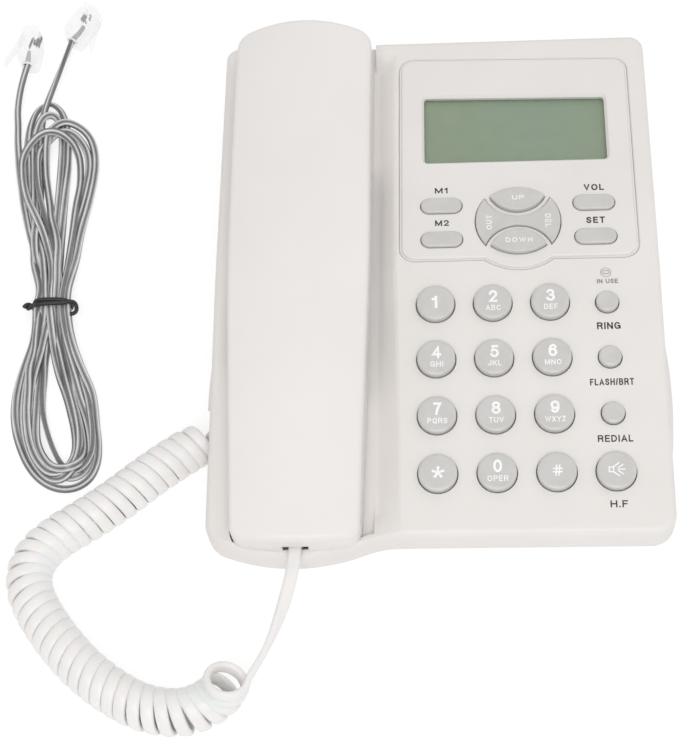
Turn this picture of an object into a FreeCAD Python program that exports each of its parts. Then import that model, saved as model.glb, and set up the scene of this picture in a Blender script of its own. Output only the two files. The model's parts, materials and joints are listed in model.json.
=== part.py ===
import FreeCAD, Part
import Sketcher
import math
import os

# Corded desk telephone. Millimetres, +Z up, +Y to the rear, +X to the right as the user sees it.
# Origin: on the surface it stands on, under the middle of the base.

os.makedirs("parts", exist_ok=True)
V = FreeCAD.Vector
Rot = FreeCAD.Rotation
Plc = FreeCAD.Placement
doc = FreeCAD.newDocument("corded_telephone")
sheet = doc.addObject("Spreadsheet::Sheet", "Dims")

# ---------------------------------------------------------------- driving dimensions
DIMS = [
    # keypad face
    ("key_x", 18.8, "keypad centre column"),
    ("key_y", -40.5, "keypad centre"),
    ("key_z", 22.0, "keypad centre height on the face"),
    ("key_slope", 7.0, "slope of the keypad face, degrees"),
    ("key_pitch_x", 19.0, "digit key pitch across"),
    ("key_pitch_y", 19.98, "digit key pitch down the face"),
    ("key_hole", 6.66, "digit key hole radius"),
    ("key_gap", 0.36, "gap round a key"),
    ("key_proud", 2.3, "key top above the face"),
    ("key_flange", 1.3, "flange beyond the hole"),
    ("key_stem", 5.0, "stem length below the face"),
    ("side_x", 37.83, "side key column from the centre column"),
    ("small_hole", 4.07, "small round key hole radius"),
    # panel face
    ("pan_y", 3.5, "crease between the two faces"),
    ("pan_slope", 2.5, "slope of the panel face, degrees"),
    ("pan_mid", 28.15, "panel centre line"),
    ("pan_wide", 80.2, "panel width"),
    ("pan_low", 5.9, "panel lower edge along Y"),
    ("pan_high", 88.2, "panel upper edge along Y, at its right end"),
    ("pan_skew", 1.6, "how far the panel's upper left corner stands back"),
    ("pan_corner", 5.0, "panel corner radius"),
    ("pan_gap", 0.55, "groove round the panel"),
    ("lcd_wide", 63.2, "display window width"),
    ("lcd_tall", 26.2, "display window height, at its right end"),
    ("lcd_skew", 1.3, "extra height of the window at its left end"),
    ("lcd_y", 58.6, "display window centre"),
    ("pill_x", 25.95, "menu pill key columns from the panel centre line"),
    ("pill_wide", 14.0, "pill key width"),
    ("pill_tall", 6.0, "pill key height"),
    ("pill_hi", 27.1, "upper pill row"),
    ("pill_lo", 13.6, "lower pill row"),
    ("nav_y", 20.3, "menu cluster centre"),
    ("nav_rim", 14.7, "menu cluster radius"),
    # base
    ("side_half", 75.0, "half width at the top edge"),
    ("rear_y", 98.4, "rear wall"),
    ("front_y", -90.5, "straight front wall"),
    ("nose_y", -97.0, "front of the bulge before the handset"),
    ("nose_x", -47.0, "middle of the bulge"),
    ("flare", 3.1, "side flare at the foot"),
    ("wall", 2.2, "case wall"),
    ("skirt_z", 4.5, "lower edge of the top case"),
    ("plate_z", 2.0, "underside of the bottom plate"),
    ("plate_t", 2.2, "bottom plate thickness"),
    ("floor_cut", 4.0, "cradle floor below the face"),
    ("well_cut", 7.0, "cradle well floor below the face"),
    ("foot_r", 6.0, "foot radius"),
    # handset
    ("hs_x", -45.3, "handset centre line"),
    ("hs_y", -0.75, "handset middle"),
    ("hs_z", 38.0, "height of the chord of the handset back"),
    ("hs_tilt", 6.7, "tilt of the chord, degrees"),
    ("hs_back_r", 700.0, "radius of the back along its length"),
    ("hs_half", 23.7, "half width at the ear end"),
    ("hs_half_front", 20.9, "half width at the mouth end"),
    ("hs_half_len", 96.6, "half length"),
    ("hs_crown", 4.5, "crown of the back across its width"),
    ("hs_wall", 2.0, "handset wall"),
    # cords
    ("tail_d", 3.2, "straight stretch of the handset cord, between its width and its thickness"),
    ("coil_d", 15.0, "outer diameter of the curly stretch"),
    ("lead_d", 2.9, "line cord width"),
    ("hank_t", 5.4, "height of the hank"),
    ("plug_w", 10.2, "line plug width"),
    ("small_plug_w", 7.65, "handset plug width"),
]
val = {}
for i, (name, v, note) in enumerate(DIMS, 1):
    sheet.set("A%d" % i, note)
    sheet.set("B%d" % i, str(v))
    sheet.setAlias("B%d" % i, name)
doc.recompute()
for name, v, note in DIMS:
    val[name] = float(sheet.get(name))


class Q:
    """A number with the expression that yields it."""

    def __init__(self, v, e):
        self.v, self.e = float(v), e

    @staticmethod
    def of(x):
        return x if isinstance(x, Q) else Q(x, "%.6f" % float(x))

    def _op(self, other, sign, v):
        return Q(v, "(%s %s %s)" % (self.e, sign, Q.of(other).e))

    def __add__(self, o):
        return self._op(o, "+", self.v + Q.of(o).v)

    def __radd__(self, o):
        return Q.of(o) + self

    def __sub__(self, o):
        return self._op(o, "-", self.v - Q.of(o).v)

    def __rsub__(self, o):
        return Q.of(o) - self

    def __mul__(self, o):
        return self._op(o, "*", self.v * Q.of(o).v)

    def __rmul__(self, o):
        return Q.of(o) * self

    def __truediv__(self, o):
        return self._op(o, "/", self.v / Q.of(o).v)

    def __neg__(self):
        return Q(-self.v, "(0 - %s)" % self.e)


def D(name):
    return Q(val[name], "Dims." + name)


def bind(o, prop, q):
    q = Q.of(q)
    if "." not in prop:
        setattr(o, prop, q.v)
    if "Dims." in q.e:
        o.setExpression(prop, q.e)


def place(o, x=0, y=0, z=0, rot=None, prop="Placement"):
    x, y, z = Q.of(x), Q.of(y), Q.of(z)
    setattr(o, prop, Plc(V(x.v, y.v, z.v), rot or Rot()))
    for c, q in (("x", x), ("y", y), ("z", z)):
        if "Dims." in q.e:
            o.setExpression("%s.Base.%s" % (prop, c), q.e)


TILT = lambda a: Rot(V(1, 0, 0), a)
YZ = Rot(V(1, 1, 1), 120)  # sketch x to Y, sketch y to Z
XZ = Rot(V(1, 0, 0), 90)  # sketch x to X, sketch y to Z
count = [0]


def nm(stem):
    count[0] += 1
    return "%s_%d" % (stem, count[0])


# ---------------------------------------------------------------- sketch helpers
def body(label):
    b = doc.addObject("PartDesign::Body", nm("Body"))
    b.Label = label
    return b


def sketch(b, plane="XY_Plane", x=0, y=0, z=0, rot=None):
    s = b.newObject("Sketcher::SketchObject", nm("Sketch"))
    origin = [f for f in b.Origin.OriginFeatures if f.Role == plane][0]
    s.AttachmentSupport = [(origin, "")]
    s.MapMode = "FlatFace"
    place(s, x, y, z, rot, "AttachmentOffset")
    s.Visibility = False
    return s


def free_sketch(geo, rot=None, x=0, y=0, z=0):
    s = doc.addObject("Sketcher::SketchObject", nm("Outline"))
    place(s, x, y, z, rot)
    s.addGeometry(geo, False)
    return s


def datum(s, kind, g1, p1, g2, p2, q):
    q = Q.of(q)
    c = s.addConstraint(Sketcher.Constraint(kind, g1, p1, g2, p2, q.v))
    if "Dims." in q.e:
        s.setExpression("Constraints[%d]" % c, q.e)


def rect(s, w, h):
    w, h = Q.of(w), Q.of(h)
    a, b = w.v / 2, h.v / 2
    p = [V(-a, -b), V(a, -b), V(a, b), V(-a, b)]
    n = s.GeometryCount
    for i in range(4):
        s.addGeometry(Part.LineSegment(p[i], p[(i + 1) % 4]), False)
    for i in range(4):
        s.addConstraint(Sketcher.Constraint("Coincident", n + i, 2, n + (i + 1) % 4, 1))
    for i in (0, 2):
        s.addConstraint(Sketcher.Constraint("Horizontal", n + i))
        s.addConstraint(Sketcher.Constraint("Vertical", n + i + 1))
    s.addConstraint(Sketcher.Constraint("Symmetric", n, 1, n + 2, 1, -1, 1))
    datum(s, "DistanceX", n, 1, n, 2, w)
    datum(s, "DistanceY", n + 1, 1, n + 1, 2, h)


def circle(s, r):
    r = Q.of(r)
    n = s.addGeometry(Part.Circle(V(0, 0, 0), V(0, 0, 1), r.v), False)
    s.addConstraint(Sketcher.Constraint("Coincident", n, 3, -1, 1))
    c = s.addConstraint(Sketcher.Constraint("Radius", n, r.v))
    if "Dims." in r.e:
        s.setExpression("Constraints[%d]" % c, r.e)


def poly(s, pts):
    pts = [(Q.of(a), Q.of(b)) for a, b in pts]
    k = len(pts)
    n = s.GeometryCount
    for i in range(k):
        a, b = pts[i], pts[(i + 1) % k]
        s.addGeometry(Part.LineSegment(V(a[0].v, a[1].v), V(b[0].v, b[1].v)), False)
    for i in range(k):
        s.addConstraint(Sketcher.Constraint("Coincident", n + i, 2, n + (i + 1) % k, 1))
    for i, (a, b) in enumerate(pts):
        if a.v == 0:
            s.addConstraint(Sketcher.Constraint("PointOnObject", n + i, 1, -2))
        else:
            datum(s, "DistanceX", -1, 1, n + i, 1, a)
        if b.v == 0:
            s.addConstraint(Sketcher.Constraint("PointOnObject", n + i, 1, -1))
        else:
            datum(s, "DistanceY", -1, 1, n + i, 1, b)


def pad(b, s, length, back=False, mid=False):
    f = b.newObject("PartDesign::Pad", nm("Pad"))
    f.Profile = s
    bind(f, "Length", length)
    f.Reversed = back
    f.Midplane = mid
    doc.recompute()
    return f


def pocket(b, s, length, back=False, mid=False, through=False):
    before = b.Shape.Volume
    f = b.newObject("PartDesign::Pocket", nm("Pocket"))
    f.Profile = s
    if through:
        f.Type = "ThroughAll"
    else:
        bind(f, "Length", length)
    f.Reversed = back
    f.Midplane = mid
    doc.recompute()
    if b.Shape.Volume > before - 1e-3:
        raise RuntimeError("pocket cut nothing in " + b.Label)
    return f


def revolve(b, s, axis="V_Axis", angle=360.0, mid=False):
    f = b.newObject("PartDesign::Revolution", nm("Revolution"))
    f.Profile = s
    f.ReferenceAxis = (s, [axis])
    f.Angle = angle
    f.Midplane = mid
    doc.recompute()
    return f


def dress(b, kind, size, pick):
    """Fillet or chamfer the edges of a body that pick() accepts."""
    base = b.Tip
    names = ["Edge%d" % (i + 1) for i, e in enumerate(b.Tip.Shape.Edges) if pick(e)]
    if not names:
        raise RuntimeError("no edges to dress in " + b.Label)
    f = b.newObject("PartDesign::" + kind, nm(kind))
    f.Base = (base, names)
    bind(f, "Radius" if kind == "Fillet" else "Size", size)
    doc.recompute()
    return f


def upright(e):
    d = e.tangentAt(e.FirstParameter)
    return abs(d.z) > 0.99


def at_z(z, tol=1e-3):
    return lambda e: abs(e.BoundBox.ZMin - z) < tol and abs(e.BoundBox.ZMax - z) < tol


# ---------------------------------------------------------------- primitives and booleans
def box(label, x, y, z, dx, dy, dz, rot=None):
    o = doc.addObject("Part::Box", nm("Box"))
    o.Label = label or o.Name
    bind(o, "Length", dx)
    bind(o, "Width", dy)
    bind(o, "Height", dz)
    place(o, x, y, z, rot)
    return o


def cyl(label, x, y, z, r, height, rot=None):
    o = doc.addObject("Part::Cylinder", nm("Cylinder"))
    o.Label = label or o.Name
    bind(o, "Radius", r)
    bind(o, "Height", height)
    place(o, x, y, z, rot)
    return o


def extrude(s, length, back=0.0):
    o = doc.addObject("Part::Extrusion", nm("Extrusion"))
    o.Base = s
    o.DirMode = "Normal"
    bind(o, "LengthFwd", length)
    bind(o, "LengthRev", back)
    o.Solid = True
    return o


def fuse(label, *parts):
    o = doc.addObject("Part::MultiFuse", nm("Fusion"))
    o.Shapes = list(parts)
    o.Refine = True
    o.Label = label or o.Name
    return o


def common(label, *parts):
    o = doc.addObject("Part::MultiCommon", nm("Common"))
    o.Shapes = list(parts)
    o.Label = label or o.Name
    return o


def cut(label, a, b):
    o = doc.addObject("Part::Cut", nm("Cut"))
    o.Base, o.Tool = a, b
    o.Refine = True
    o.Label = label or o.Name
    return o


def group(label, *parts):
    o = doc.addObject("Part::Compound", nm("Group"))
    o.Links = list(parts)
    o.Label = label
    return o


def fillet_of(label, base, edges):
    """edges: list of (edge number, radius)."""
    o = doc.addObject("Part::Fillet", nm("Fillet"))
    o.Base = base
    o.Edges = [(n, r, r) for n, r in edges]
    o.Label = label or o.Name
    doc.recompute()
    return o


# ---------------------------------------------------------------- the two faces of the base
AK, AP = math.radians(val["key_slope"]), math.radians(val["pan_slope"])
KY, KZ, PY = val["key_y"], val["key_z"], val["pan_y"]
PZ = KZ + (PY - KY) * math.tan(AK)
BEND = 150.0


def face_z(y):
    return KZ + (y - KY) * math.tan(AK) if y < PY else PZ + (y - PY) * math.tan(AP)


def on_key(u, v, n=0.0):
    """Point of the keypad face: u across from the centre column, v up the face, n above it."""
    return (
        val["key_x"] + u,
        KY + v * math.cos(AK) - n * math.sin(AK),
        KZ + v * math.sin(AK) + n * math.cos(AK),
    )


def on_panel(x, y, n=0.0):
    """Point of the panel face at x, y on the face, n above it."""
    return (x, y - n * math.sin(AP), PZ + (y - PY) * math.tan(AP) + n * math.cos(AP))


def profile(off, top=70.0, low=None):
    """Side outline: the region above (top) or below (low) the two faces sunk by off."""

    def line(y, a, y0, z0):
        return z0 + (y - y0) * math.tan(a) - off / math.cos(a)

    half = (AK - AP) / 2
    mid = (AK + AP) / 2
    # where the two sunk lines meet
    tk, tp = math.tan(AK), math.tan(AP)
    zk0, zp0 = KZ - off / math.cos(AK), PZ - off / math.cos(AP)
    yc = (zp0 - zk0 + KY * tk - PY * tp) / (tk - tp)
    zc = zk0 + (yc - KY) * tk
    r = BEND - off
    t = r * math.tan(half)
    a = V(yc - t * math.cos(AK), zc - t * math.sin(AK), 0)
    b = V(yc + t * math.cos(AP), zc + t * math.sin(AP), 0)
    drop = r * (1 / math.cos(half) - 1)
    m = V(yc + drop * math.sin(mid), zc - drop * math.cos(mid), 0)
    y0, y1 = -112.0, 112.0
    p0 = V(y0, line(y0, AK, KY, KZ), 0)
    p1 = V(y1, line(y1, AP, PY, PZ), 0)
    far = top if low is None else low
    q0, q1 = V(y0, far, 0), V(y1, far, 0)
    return [
        Part.LineSegment(p0, a),
        Part.Arc(a, m, b),
        Part.LineSegment(b, p1),
        Part.LineSegment(p1, q1),
        Part.LineSegment(q1, q0),
        Part.LineSegment(q0, p0),
    ]


def chain(items, off):
    """Closed outline from arcs and points listed counter-clockwise, moved in by off.
    arc: (cx, cy, r, start, end) in degrees, clockwise when end < start (hollow side);
    point: (x, y, nx, ny) with its outward normal."""
    parts = []
    for it in items:
        if len(it) == 5:
            cx, cy, r, a0, a1 = it
            rr = r - off if a1 > a0 else r + off
            a0, a1 = math.radians(a0), math.radians(a1)
            am = (a0 + a1) / 2
            P = [V(cx + rr * math.cos(q), cy + rr * math.sin(q), 0) for q in (a0, am, a1)]
            parts.append(P)
        else:
            x, y, nx, ny = it
            parts.append([V(x - off * nx, y - off * ny, 0)])
    geo = []
    for i, P in enumerate(parts):
        if len(P) == 3:
            geo.append(Part.Arc(*P))
        nxt = parts[(i + 1) % len(parts)]
        if (P[-1] - nxt[0]).Length > 1e-4:
            geo.append(Part.LineSegment(P[-1], nxt[0]))
    return geo


def base_outline(off, flare, y0, y2):
    """Plan of the base: straight front on the right, bulge on the left, optional side flare."""
    w, ry, nx = val["side_half"], val["rear_y"], val["nose_x"]
    a, b = -13.0 - nx, y0 - y2
    th = 2 * math.atan2(b, a)
    total = a / math.sin(th)
    r1 = 28.0
    r2 = total - r1
    c1 = (-13.0, y0 - r1)
    c2 = (nx, y2 + r2)
    rc = 9.0
    dx = (-w + rc) - c2[0]
    dy = -math.sqrt((r2 - rc) ** 2 - dx * dx)
    cc = (-w + rc, c2[1] + dy)
    left = math.degrees(math.atan2(dy, dx))  # direction of the join, third quadrant
    thd = math.degrees(th)
    rf = 7.0
    f = max(flare, 1e-6)
    # side flare: hollow, full, hollow arcs, each a quarter of the flared stretch
    ylo, yhi = y0 + rf, 14.5
    quarter = (yhi - ylo) / 4
    t = 2 * math.atan2(f / 2, quarter)
    rs = quarter / math.sin(t)
    td = math.degrees(t)
    items = []
    if flare > 0:
        items += [
            (w + rs, ylo, rs, 180.0, 180.0 - td),
            (w + f - rs, ylo + 2 * quarter, rs, -td, td),
            (w + rs, yhi, rs, 180.0 + td, 180.0),
        ]
    else:
        items += [
            (w, ylo, 1, 0),
            (w, ylo + quarter, 1, 0),
            (w, ylo + 3 * quarter, 1, 0),
            (w, yhi, 1, 0),
        ]
    items += [(w - 5, ry - 5, 5.0, 0.0, 90.0), (-w + 5, ry - 5, 5.0, 90.0, 180.0)]
    ylo2 = cc[1]
    quarter2 = (yhi - ylo2) / 4
    t2 = 2 * math.atan2(f / 2, quarter2)
    rs2 = quarter2 / math.sin(t2)
    td2 = math.degrees(t2)
    if flare > 0:
        items += [
            (-w - rs2, yhi, rs2, 0.0, -td2),
            (-w - f + rs2, ylo2 + 2 * quarter2, rs2, 180.0 - td2, 180.0 + td2),
            (-w - rs2, ylo2, rs2, td2, 0.0),
        ]
    else:
        items += [
            (-w, yhi, -1, 0),
            (-w, ylo2 + 3 * quarter2, -1, 0),
            (-w, ylo2 + quarter2, -1, 0),
            (-w, ylo2, -1, 0),
        ]
    items += [
        (cc[0], cc[1], rc, 180.0, 360.0 + left if left < 0 else left),
        (c2[0], c2[1], r2, 360.0 + left if left < 0 else left, 270.0 + thd),
        (c1[0], c1[1], r1, 90.0 + thd, 90.0),
        (w - rf, y0 + rf, rf, 270.0, 360.0),
    ]
    return chain(items, off)


def loft(sections):
    o = doc.addObject("Part::Loft", nm("Loft"))
    o.Sections = sections
    o.Solid = True
    o.Ruled = True
    return o


def case_form(off, bottom, sink):
    """Solid wedge of the base, inset by off, with the faces sunk by sink."""
    fy, ny, fl = val["front_y"], val["nose_y"], val["flare"]
    lo = free_sketch(base_outline(off, fl, fy + 0.7, ny + 0.6), z=bottom)
    mid = free_sketch(base_outline(off, 0.42 * fl, fy + 0.25, ny + 0.2), z=8.0)
    hi = free_sketch(base_outline(off, 0, fy, ny), z=12.6)
    up = extrude(free_sketch(base_outline(off, 0, fy, ny), z=12.6), 40.0)
    under = extrude(free_sketch(profile(sink, low=-20.0), YZ, x=-110), 220)
    return common(None, fuse(None, loft([lo, mid, hi]), up), under)


W = val["wall"]
HX = val["hs_x"]


def round_rect(x0, x1, y0, y1, r):
    return chain(
        [
            (x1 - r, y1 - r, r, 0.0, 90.0),
            (x0 + r, y1 - r, r, 90.0, 180.0),
            (x0 + r, y0 + r, r, 180.0, 270.0),
            (x1 - r, y0 + r, r, 270.0, 360.0),
        ],
        0,
    )


def cradle_plan(g):
    """Plan of the cradle; its left side comes in towards the mouth end, as the handset does."""
    x0, x1, y0, y1, r = -69.9, -20.6, -95.2, 115.0, 7.0
    t = math.atan2(3.1, 91.0)
    cy = y0 + r
    cx = x0 - cy * math.tan(t) + r / math.cos(t)
    return chain(
        [
            (x1 - r, y1 - r, r, 0.0, 90.0),
            (x0 + r, y1 - r, r, 90.0, 180.0),
            (x0, 0.0, -1.0, 0.0),
            (cx, cy, r, 180.0 + math.degrees(t), 270.0),
            (x1 - r, y0 + r, r, 270.0, 360.0),
        ],
        -g,
    )


def flank(run, rise, r=4.0):
    """Soft step up from the cradle floor: hollow arc, straight, full arc. Returns its turn and straight length."""
    lo, hi = 1e-4, math.radians(80)
    for _ in range(60):
        th = (lo + hi) / 2
        s = (run - 2 * r * math.sin(th)) / math.cos(th)
        if 2 * r * (1 - math.cos(th)) + s * math.sin(th) < rise:
            lo = th
        else:
            hi = th
    return th, s


# the slope on the keypad side: (y, width, share of the full depth); it runs out before the front and the rear
FLANK = [
    (95.2, 8.2, 0.03),
    (92.4, 8.2, 0.34),
    (89.6, 8.2, 0.82),
    (86.6, 8.2, 1.0),
    (60.0, 8.2, 1.0),
    (PY, 8.4, 1.0),
    (-60.0, 9.4, 1.0),
    (-78.0, 9.4, 1.0),
    (-82.0, 9.4, 0.86),
    (-86.0, 9.4, 0.5),
    (-90.0, 9.4, 0.14),
    (-93.0, 9.4, 0.03),
]


def trough(grow):
    """The cradle: floor, two wells and the slope up to the keypad, all grown by the wall."""
    g = grow
    plan = extrude(free_sketch(cradle_plan(g), z=-5), 80)
    if g == 0:
        inside = extrude(free_sketch(base_outline(2.2, 0, val["front_y"], val["nose_y"]), z=-5), 80)
        plan = common(None, plan, fuse(None, inside, box(None, -100, 0, -5, 200, 120, 80)))
    above = extrude(free_sketch(profile(val["floor_cut"] + g, top=70.0), YZ, x=-110), 220)
    wells = extrude(free_sketch(round_rect(HX - 19.4 - g, HX + 19.4 + g, 49.5 - g, 91.5 + g, 9.0 + g), z=-5), 80)
    wells2 = extrude(free_sketch(round_rect(HX - 17.4 - g, HX + 17.4 + g, -91.0 - g, -55.5 + g, 9.0 + g), z=-5), 80)
    deep = extrude(free_sketch(profile(val["well_cut"] + g, top=70.0), YZ, x=-110), 220)
    parts = [common(None, plan, above), common(None, fuse(None, wells, wells2), deep)]
    secs = []
    for y, run, share in FLANK:
        z, rise = face_z(y), val["floor_cut"] * share
        x1 = -20.7
        if g == 0:
            th, st = flank(run, rise + 0.04)
            r = 4.0
            zf = z - rise
            a = V(x1 + r * math.sin(th), zf + r * (1 - math.cos(th)), 0)
            am = V(x1 + r * math.sin(th / 2), zf + r * (1 - math.cos(th / 2)), 0)
            b = V(a.x + st * math.cos(th), a.y + st * math.sin(th), 0)
            e = V(x1 + run, z + 0.04, 0)
            bm = V(e.x - r * math.sin(th / 2), e.y - r * (1 - math.cos(th / 2)), 0)
            geo = [
                Part.LineSegment(V(-40, zf, 0), V(x1, zf, 0)),
                Part.Arc(V(x1, zf, 0), am, a),
                Part.LineSegment(a, b),
                Part.Arc(b, bm, e),
                Part.LineSegment(e, V(e.x, z + 20, 0)),
                Part.LineSegment(V(e.x, z + 20, 0), V(-40, z + 20, 0)),
                Part.LineSegment(V(-40, z + 20, 0), V(-40, zf, 0)),
            ]
        else:
            pts = [
                V(-40, z - rise - g, 0),
                V(x1 + g * 0.5, z - rise - g, 0),
                V(x1 + run + g * 0.2, z - g * 1.02, 0),
                V(x1 + run + g * 0.2, z + 20, 0),
                V(-40, z + 20, 0),
            ]
            geo = [Part.LineSegment(pts[i], pts[(i + 1) % 5]) for i in range(5)]
        secs.append(free_sketch(geo, XZ, y=y))
    parts.append(loft(secs))
    return fuse(None, *parts)


# ---------------------------------------------------------------- base_upper_shell
outer = case_form(0.0, D("skirt_z"), 0.0)
doc.recompute()


def top_edges(sh, radius):
    """Edges where the upper faces meet the walls."""
    out = []
    for i, e in enumerate(sh.Edges, 1):
        fs = sh.ancestorsOfType(e, Part.Face)
        if len(fs) != 2:
            continue
        n = []
        for f in fs:
            u, v = f.Surface.parameter(e.valueAt((e.FirstParameter + e.LastParameter) / 2))
            n.append(abs(f.normalAt(u, v).z))
        if max(n) > 0.97 and min(n) < 0.4 and e.BoundBox.ZMax > 10:
            out.append((i, radius))
    return out


rounded = fillet_of(None, outer, top_edges(outer.Shape, 2.4))
if rounded.Shape.isNull() or not rounded.Shape.isValid():
    raise RuntimeError("the rim fillet failed")
carved = cut(None, rounded, trough(0.0))
core = cut(None, case_form(W, 3.0, W), trough(W))
hollow = cut(None, carved, core)
doc.recompute()

# panel opening and its retaining step: the bezel's flange sits under the face
pan_items = lambda g: chain(
    [
        (val["pan_mid"] + val["pan_wide"] / 2 - 5, val["pan_high"] - 5, 5.0, 0.0, PANT),
        (val["pan_mid"] - val["pan_wide"] / 2 + 5, val["pan_high"] - 5 + val["pan_skew"], 5.0, PANT, 180.0),
        (val["pan_mid"] - val["pan_wide"] / 2 + 5, val["pan_low"] + 5, 5.0, 180.0, 270.0),
        (val["pan_mid"], val["nav_y"], 18.4, 270.0 - PANB, 270.0 + PANB),
        (val["pan_mid"] + val["pan_wide"] / 2 - 5, val["pan_low"] + 5, 5.0, 270.0, 360.0),
    ],
    -g,
)
PANB = math.degrees(math.acos((val["nav_y"] - val["pan_low"]) / 18.4))
PANT = 90.0 - math.degrees(math.atan2(val["pan_skew"], val["pan_wide"] - 10))  # the upper edge leans back a little to the left

key_rot = TILT(val["key_slope"])
pan_rot = TILT(val["pan_slope"])
C7, S7 = math.cos(AK), math.sin(AK)
CP, SP = math.cos(AP), math.sin(AP)

KEYS = {}
names = [["1", "2", "3"], ["4", "5", "6"], ["7", "8", "9"], ["star", "0", "hash"]]
for row in range(4):
    for col in range(3):
        KEYS["key_" + names[row][col]] = (
            D("key_pitch_x") * (col - 1),
            D("key_pitch_y") * (1.5 - row),
            "key_hole",
        )
KEYS["key_handsfree"] = (D("side_x"), D("key_pitch_y") * -1.5, "key_hole")
KEYS["key_ring"] = (D("side_x"), Q.of(29.6), "small_hole")
KEYS["key_flash"] = (D("side_x"), Q.of(9.8), "small_hole")
KEYS["key_redial"] = (D("side_x"), Q.of(-10.0), "small_hole")


def face_place(o, u, v, n=0.0):
    """Put o on the keypad face with its Z along the face normal."""
    place(
        o,
        D("key_x") + u,
        D("key_y") + Q.of(v) * round(C7, 8) - Q.of(n) * round(S7, 8),
        D("key_z") + Q.of(v) * round(S7, 8) + Q.of(n) * round(C7, 8),
        key_rot,
    )


def panel_place(o, x, y, n=0.0):
    y, n = Q.of(y), Q.of(n)
    place(
        o,
        x,
        y - n * round(SP, 8),
        round(PZ, 6) + (y - D("pan_y")) * round(math.tan(AP), 8) + n * round(CP, 8),
        pan_rot,
    )


holes = []
for name, (u, v, hole) in KEYS.items():
    c = cyl(None, 0, 0, 0, D(hole), 12)
    face_place(c, u, v, -7.0)
    holes.append(c)
lamp_hole = cyl(None, 0, 0, 0, 1.78, 12)
place(lamp_hole, 56.7, -0.1 + 8.0 * S7, face_z(-0.1) - 8.0 * C7, key_rot)
holes.append(lamp_hole)
pan_sk = free_sketch(pan_items(val["pan_gap"] * 0.5))
panel_place(pan_sk, 0, 0, -12.0)
holes.append(extrude(pan_sk, 20))
# the case edge round the panel is bevelled
pan_bevel = free_sketch(pan_items(val["pan_gap"] * 0.5))
panel_place(pan_bevel, 0, 0, -0.45)
bevel = extrude(pan_bevel, 0.9)
bevel.TaperAngle = 42.0
holes.append(bevel)

# sound slots under the handset, hook opening, line socket opening, cord recess, handset plug room
for k in range(6):
    s = box(None, HX - 12, -29.0 + 6.2 * k, 8, 24, 2.0, 30)
    holes.append(s)
hook_y = 22.0
holes.append(box(None, HX - 5.6, hook_y - 4.6, 10, 11.2, 9.2, 30))
holes.append(box(None, 40 - 6.1, 90, 13.6, 12.2, 12, 10.8))
recess = box(None, -90, -53.0, -5, 25.0, 15.0, 19.0)
recess_wall = box(None, -77.5, -55.0, 4.5, 14.6, 19.0, 11.6)
holes.append(recess)
# plug opening at the back of the recess
holes.append(box(None, -66.0, -45.5 - 4.3, 5.0, 5.0, 8.6, 8.3))

# hanging bosses for the case screws
BOSS = [(-67.8, 86.0), (60.0, 92.4), (-66.4, -79.0), (67.0, -84.0)]
extra = []
for bx, by in BOSS:
    top = face_z(by) - (val["floor_cut"] if bx < -21 else 0) - 0.8
    if by > 90:
        top = face_z(by) - 4.6
    b0 = cyl(None, bx, by, 7.3, 3.2, top - 7.3)
    extra.append(cut(None, b0, cyl(None, bx, by, 7.0, 1.25, 3.4)))
shell_walls = common(None, recess_wall, case_form(0.4, D("skirt_z"), 0.4))
with_bosses = fuse(None, hollow, shell_walls, *extra)
base_upper = cut("base_upper_shell", with_bosses, fuse(None, *holes))
doc.recompute()

# ---------------------------------------------------------------- base_lower_shell
lower_outline = lambda off: base_outline(off, val["flare"] - 0.1, val["front_y"] + 0.75, val["nose_y"] + 0.65)
plate = extrude(free_sketch(lower_outline(0.9), z=D("plate_z")), D("plate_t"))
plate_z1 = val["plate_z"] + val["plate_t"]
# the rim follows the narrower outline higher up the flared wall, so that it clears it all round
rim_outline = lambda off: base_outline(off, 0.42 * val["flare"] - 0.1, val["front_y"] + 0.75, val["nose_y"] + 0.65)
rim = cut(
    None,
    extrude(free_sketch(rim_outline(W + 0.6), z=plate_z1 - 0.05), 2.85),
    extrude(free_sketch(rim_outline(W + 1.9), z=plate_z1 - 0.1), 3.6),
)
low_parts = [plate, rim]
low_cuts = [
    box(None, -90, -55.2, -5, 26.8, 19.4, 30),
    # room for the mouth well over the rim, and for the cord socket beside the speaker seat
    box(None, -63.5, -97.0, 5.9, 39.0, 11.5, 5.0),
    box(None, -64.0, -52.0, plate_z1, 16.0, 12.7, 4.0),
]
boss_room = extrude(free_sketch(rim_outline(W + 0.5), z=3.0), 6.0)
for bx, by in BOSS:
    low_parts.append(common(None, cyl(None, bx, by, plate_z1 - 0.1, 3.6, 2.9), boss_room))
    low_cuts.append(cyl(None, bx, by, 1.0, 3.15, 3.0))
    low_cuts.append(cyl(None, bx, by, 1.0, 1.6, 8.0))
# speaker seat with its sound slots, and ribs
SPK = (HX, -14.0)
low_parts.append(cut(None, cyl(None, SPK[0], SPK[1], plate_z1 - 0.1, 26.4, 3.0), cyl(None, SPK[0], SPK[1], plate_z1 - 0.2, 24.9, 3.4)))
for k in range(5):
    low_cuts.append(box(None, SPK[0] - 12, SPK[1] - 11 + 5 * k, 1, 24, 1.8, 5))
for rx, ry, rw, rd in ((-12.0, -60.0, 1.6, 120.0), (30.0, -84.0, 1.6, 40.0)):
    low_parts.append(box(None, rx, ry, plate_z1 - 0.1, rw, rd, 2.4))
# posts under the line board
for px, py in ((-2.0, 26.0), (62.0, 26.0), (-2.0, 82.0), (62.0, 82.0)):
    low_parts.append(cyl(None, px, py, plate_z1 - 0.1, 2.4, 8.0 - plate_z1 + 0.1))
base_lower = cut("base_lower_shell", fuse(None, *low_parts), fuse(None, *low_cuts))

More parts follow.
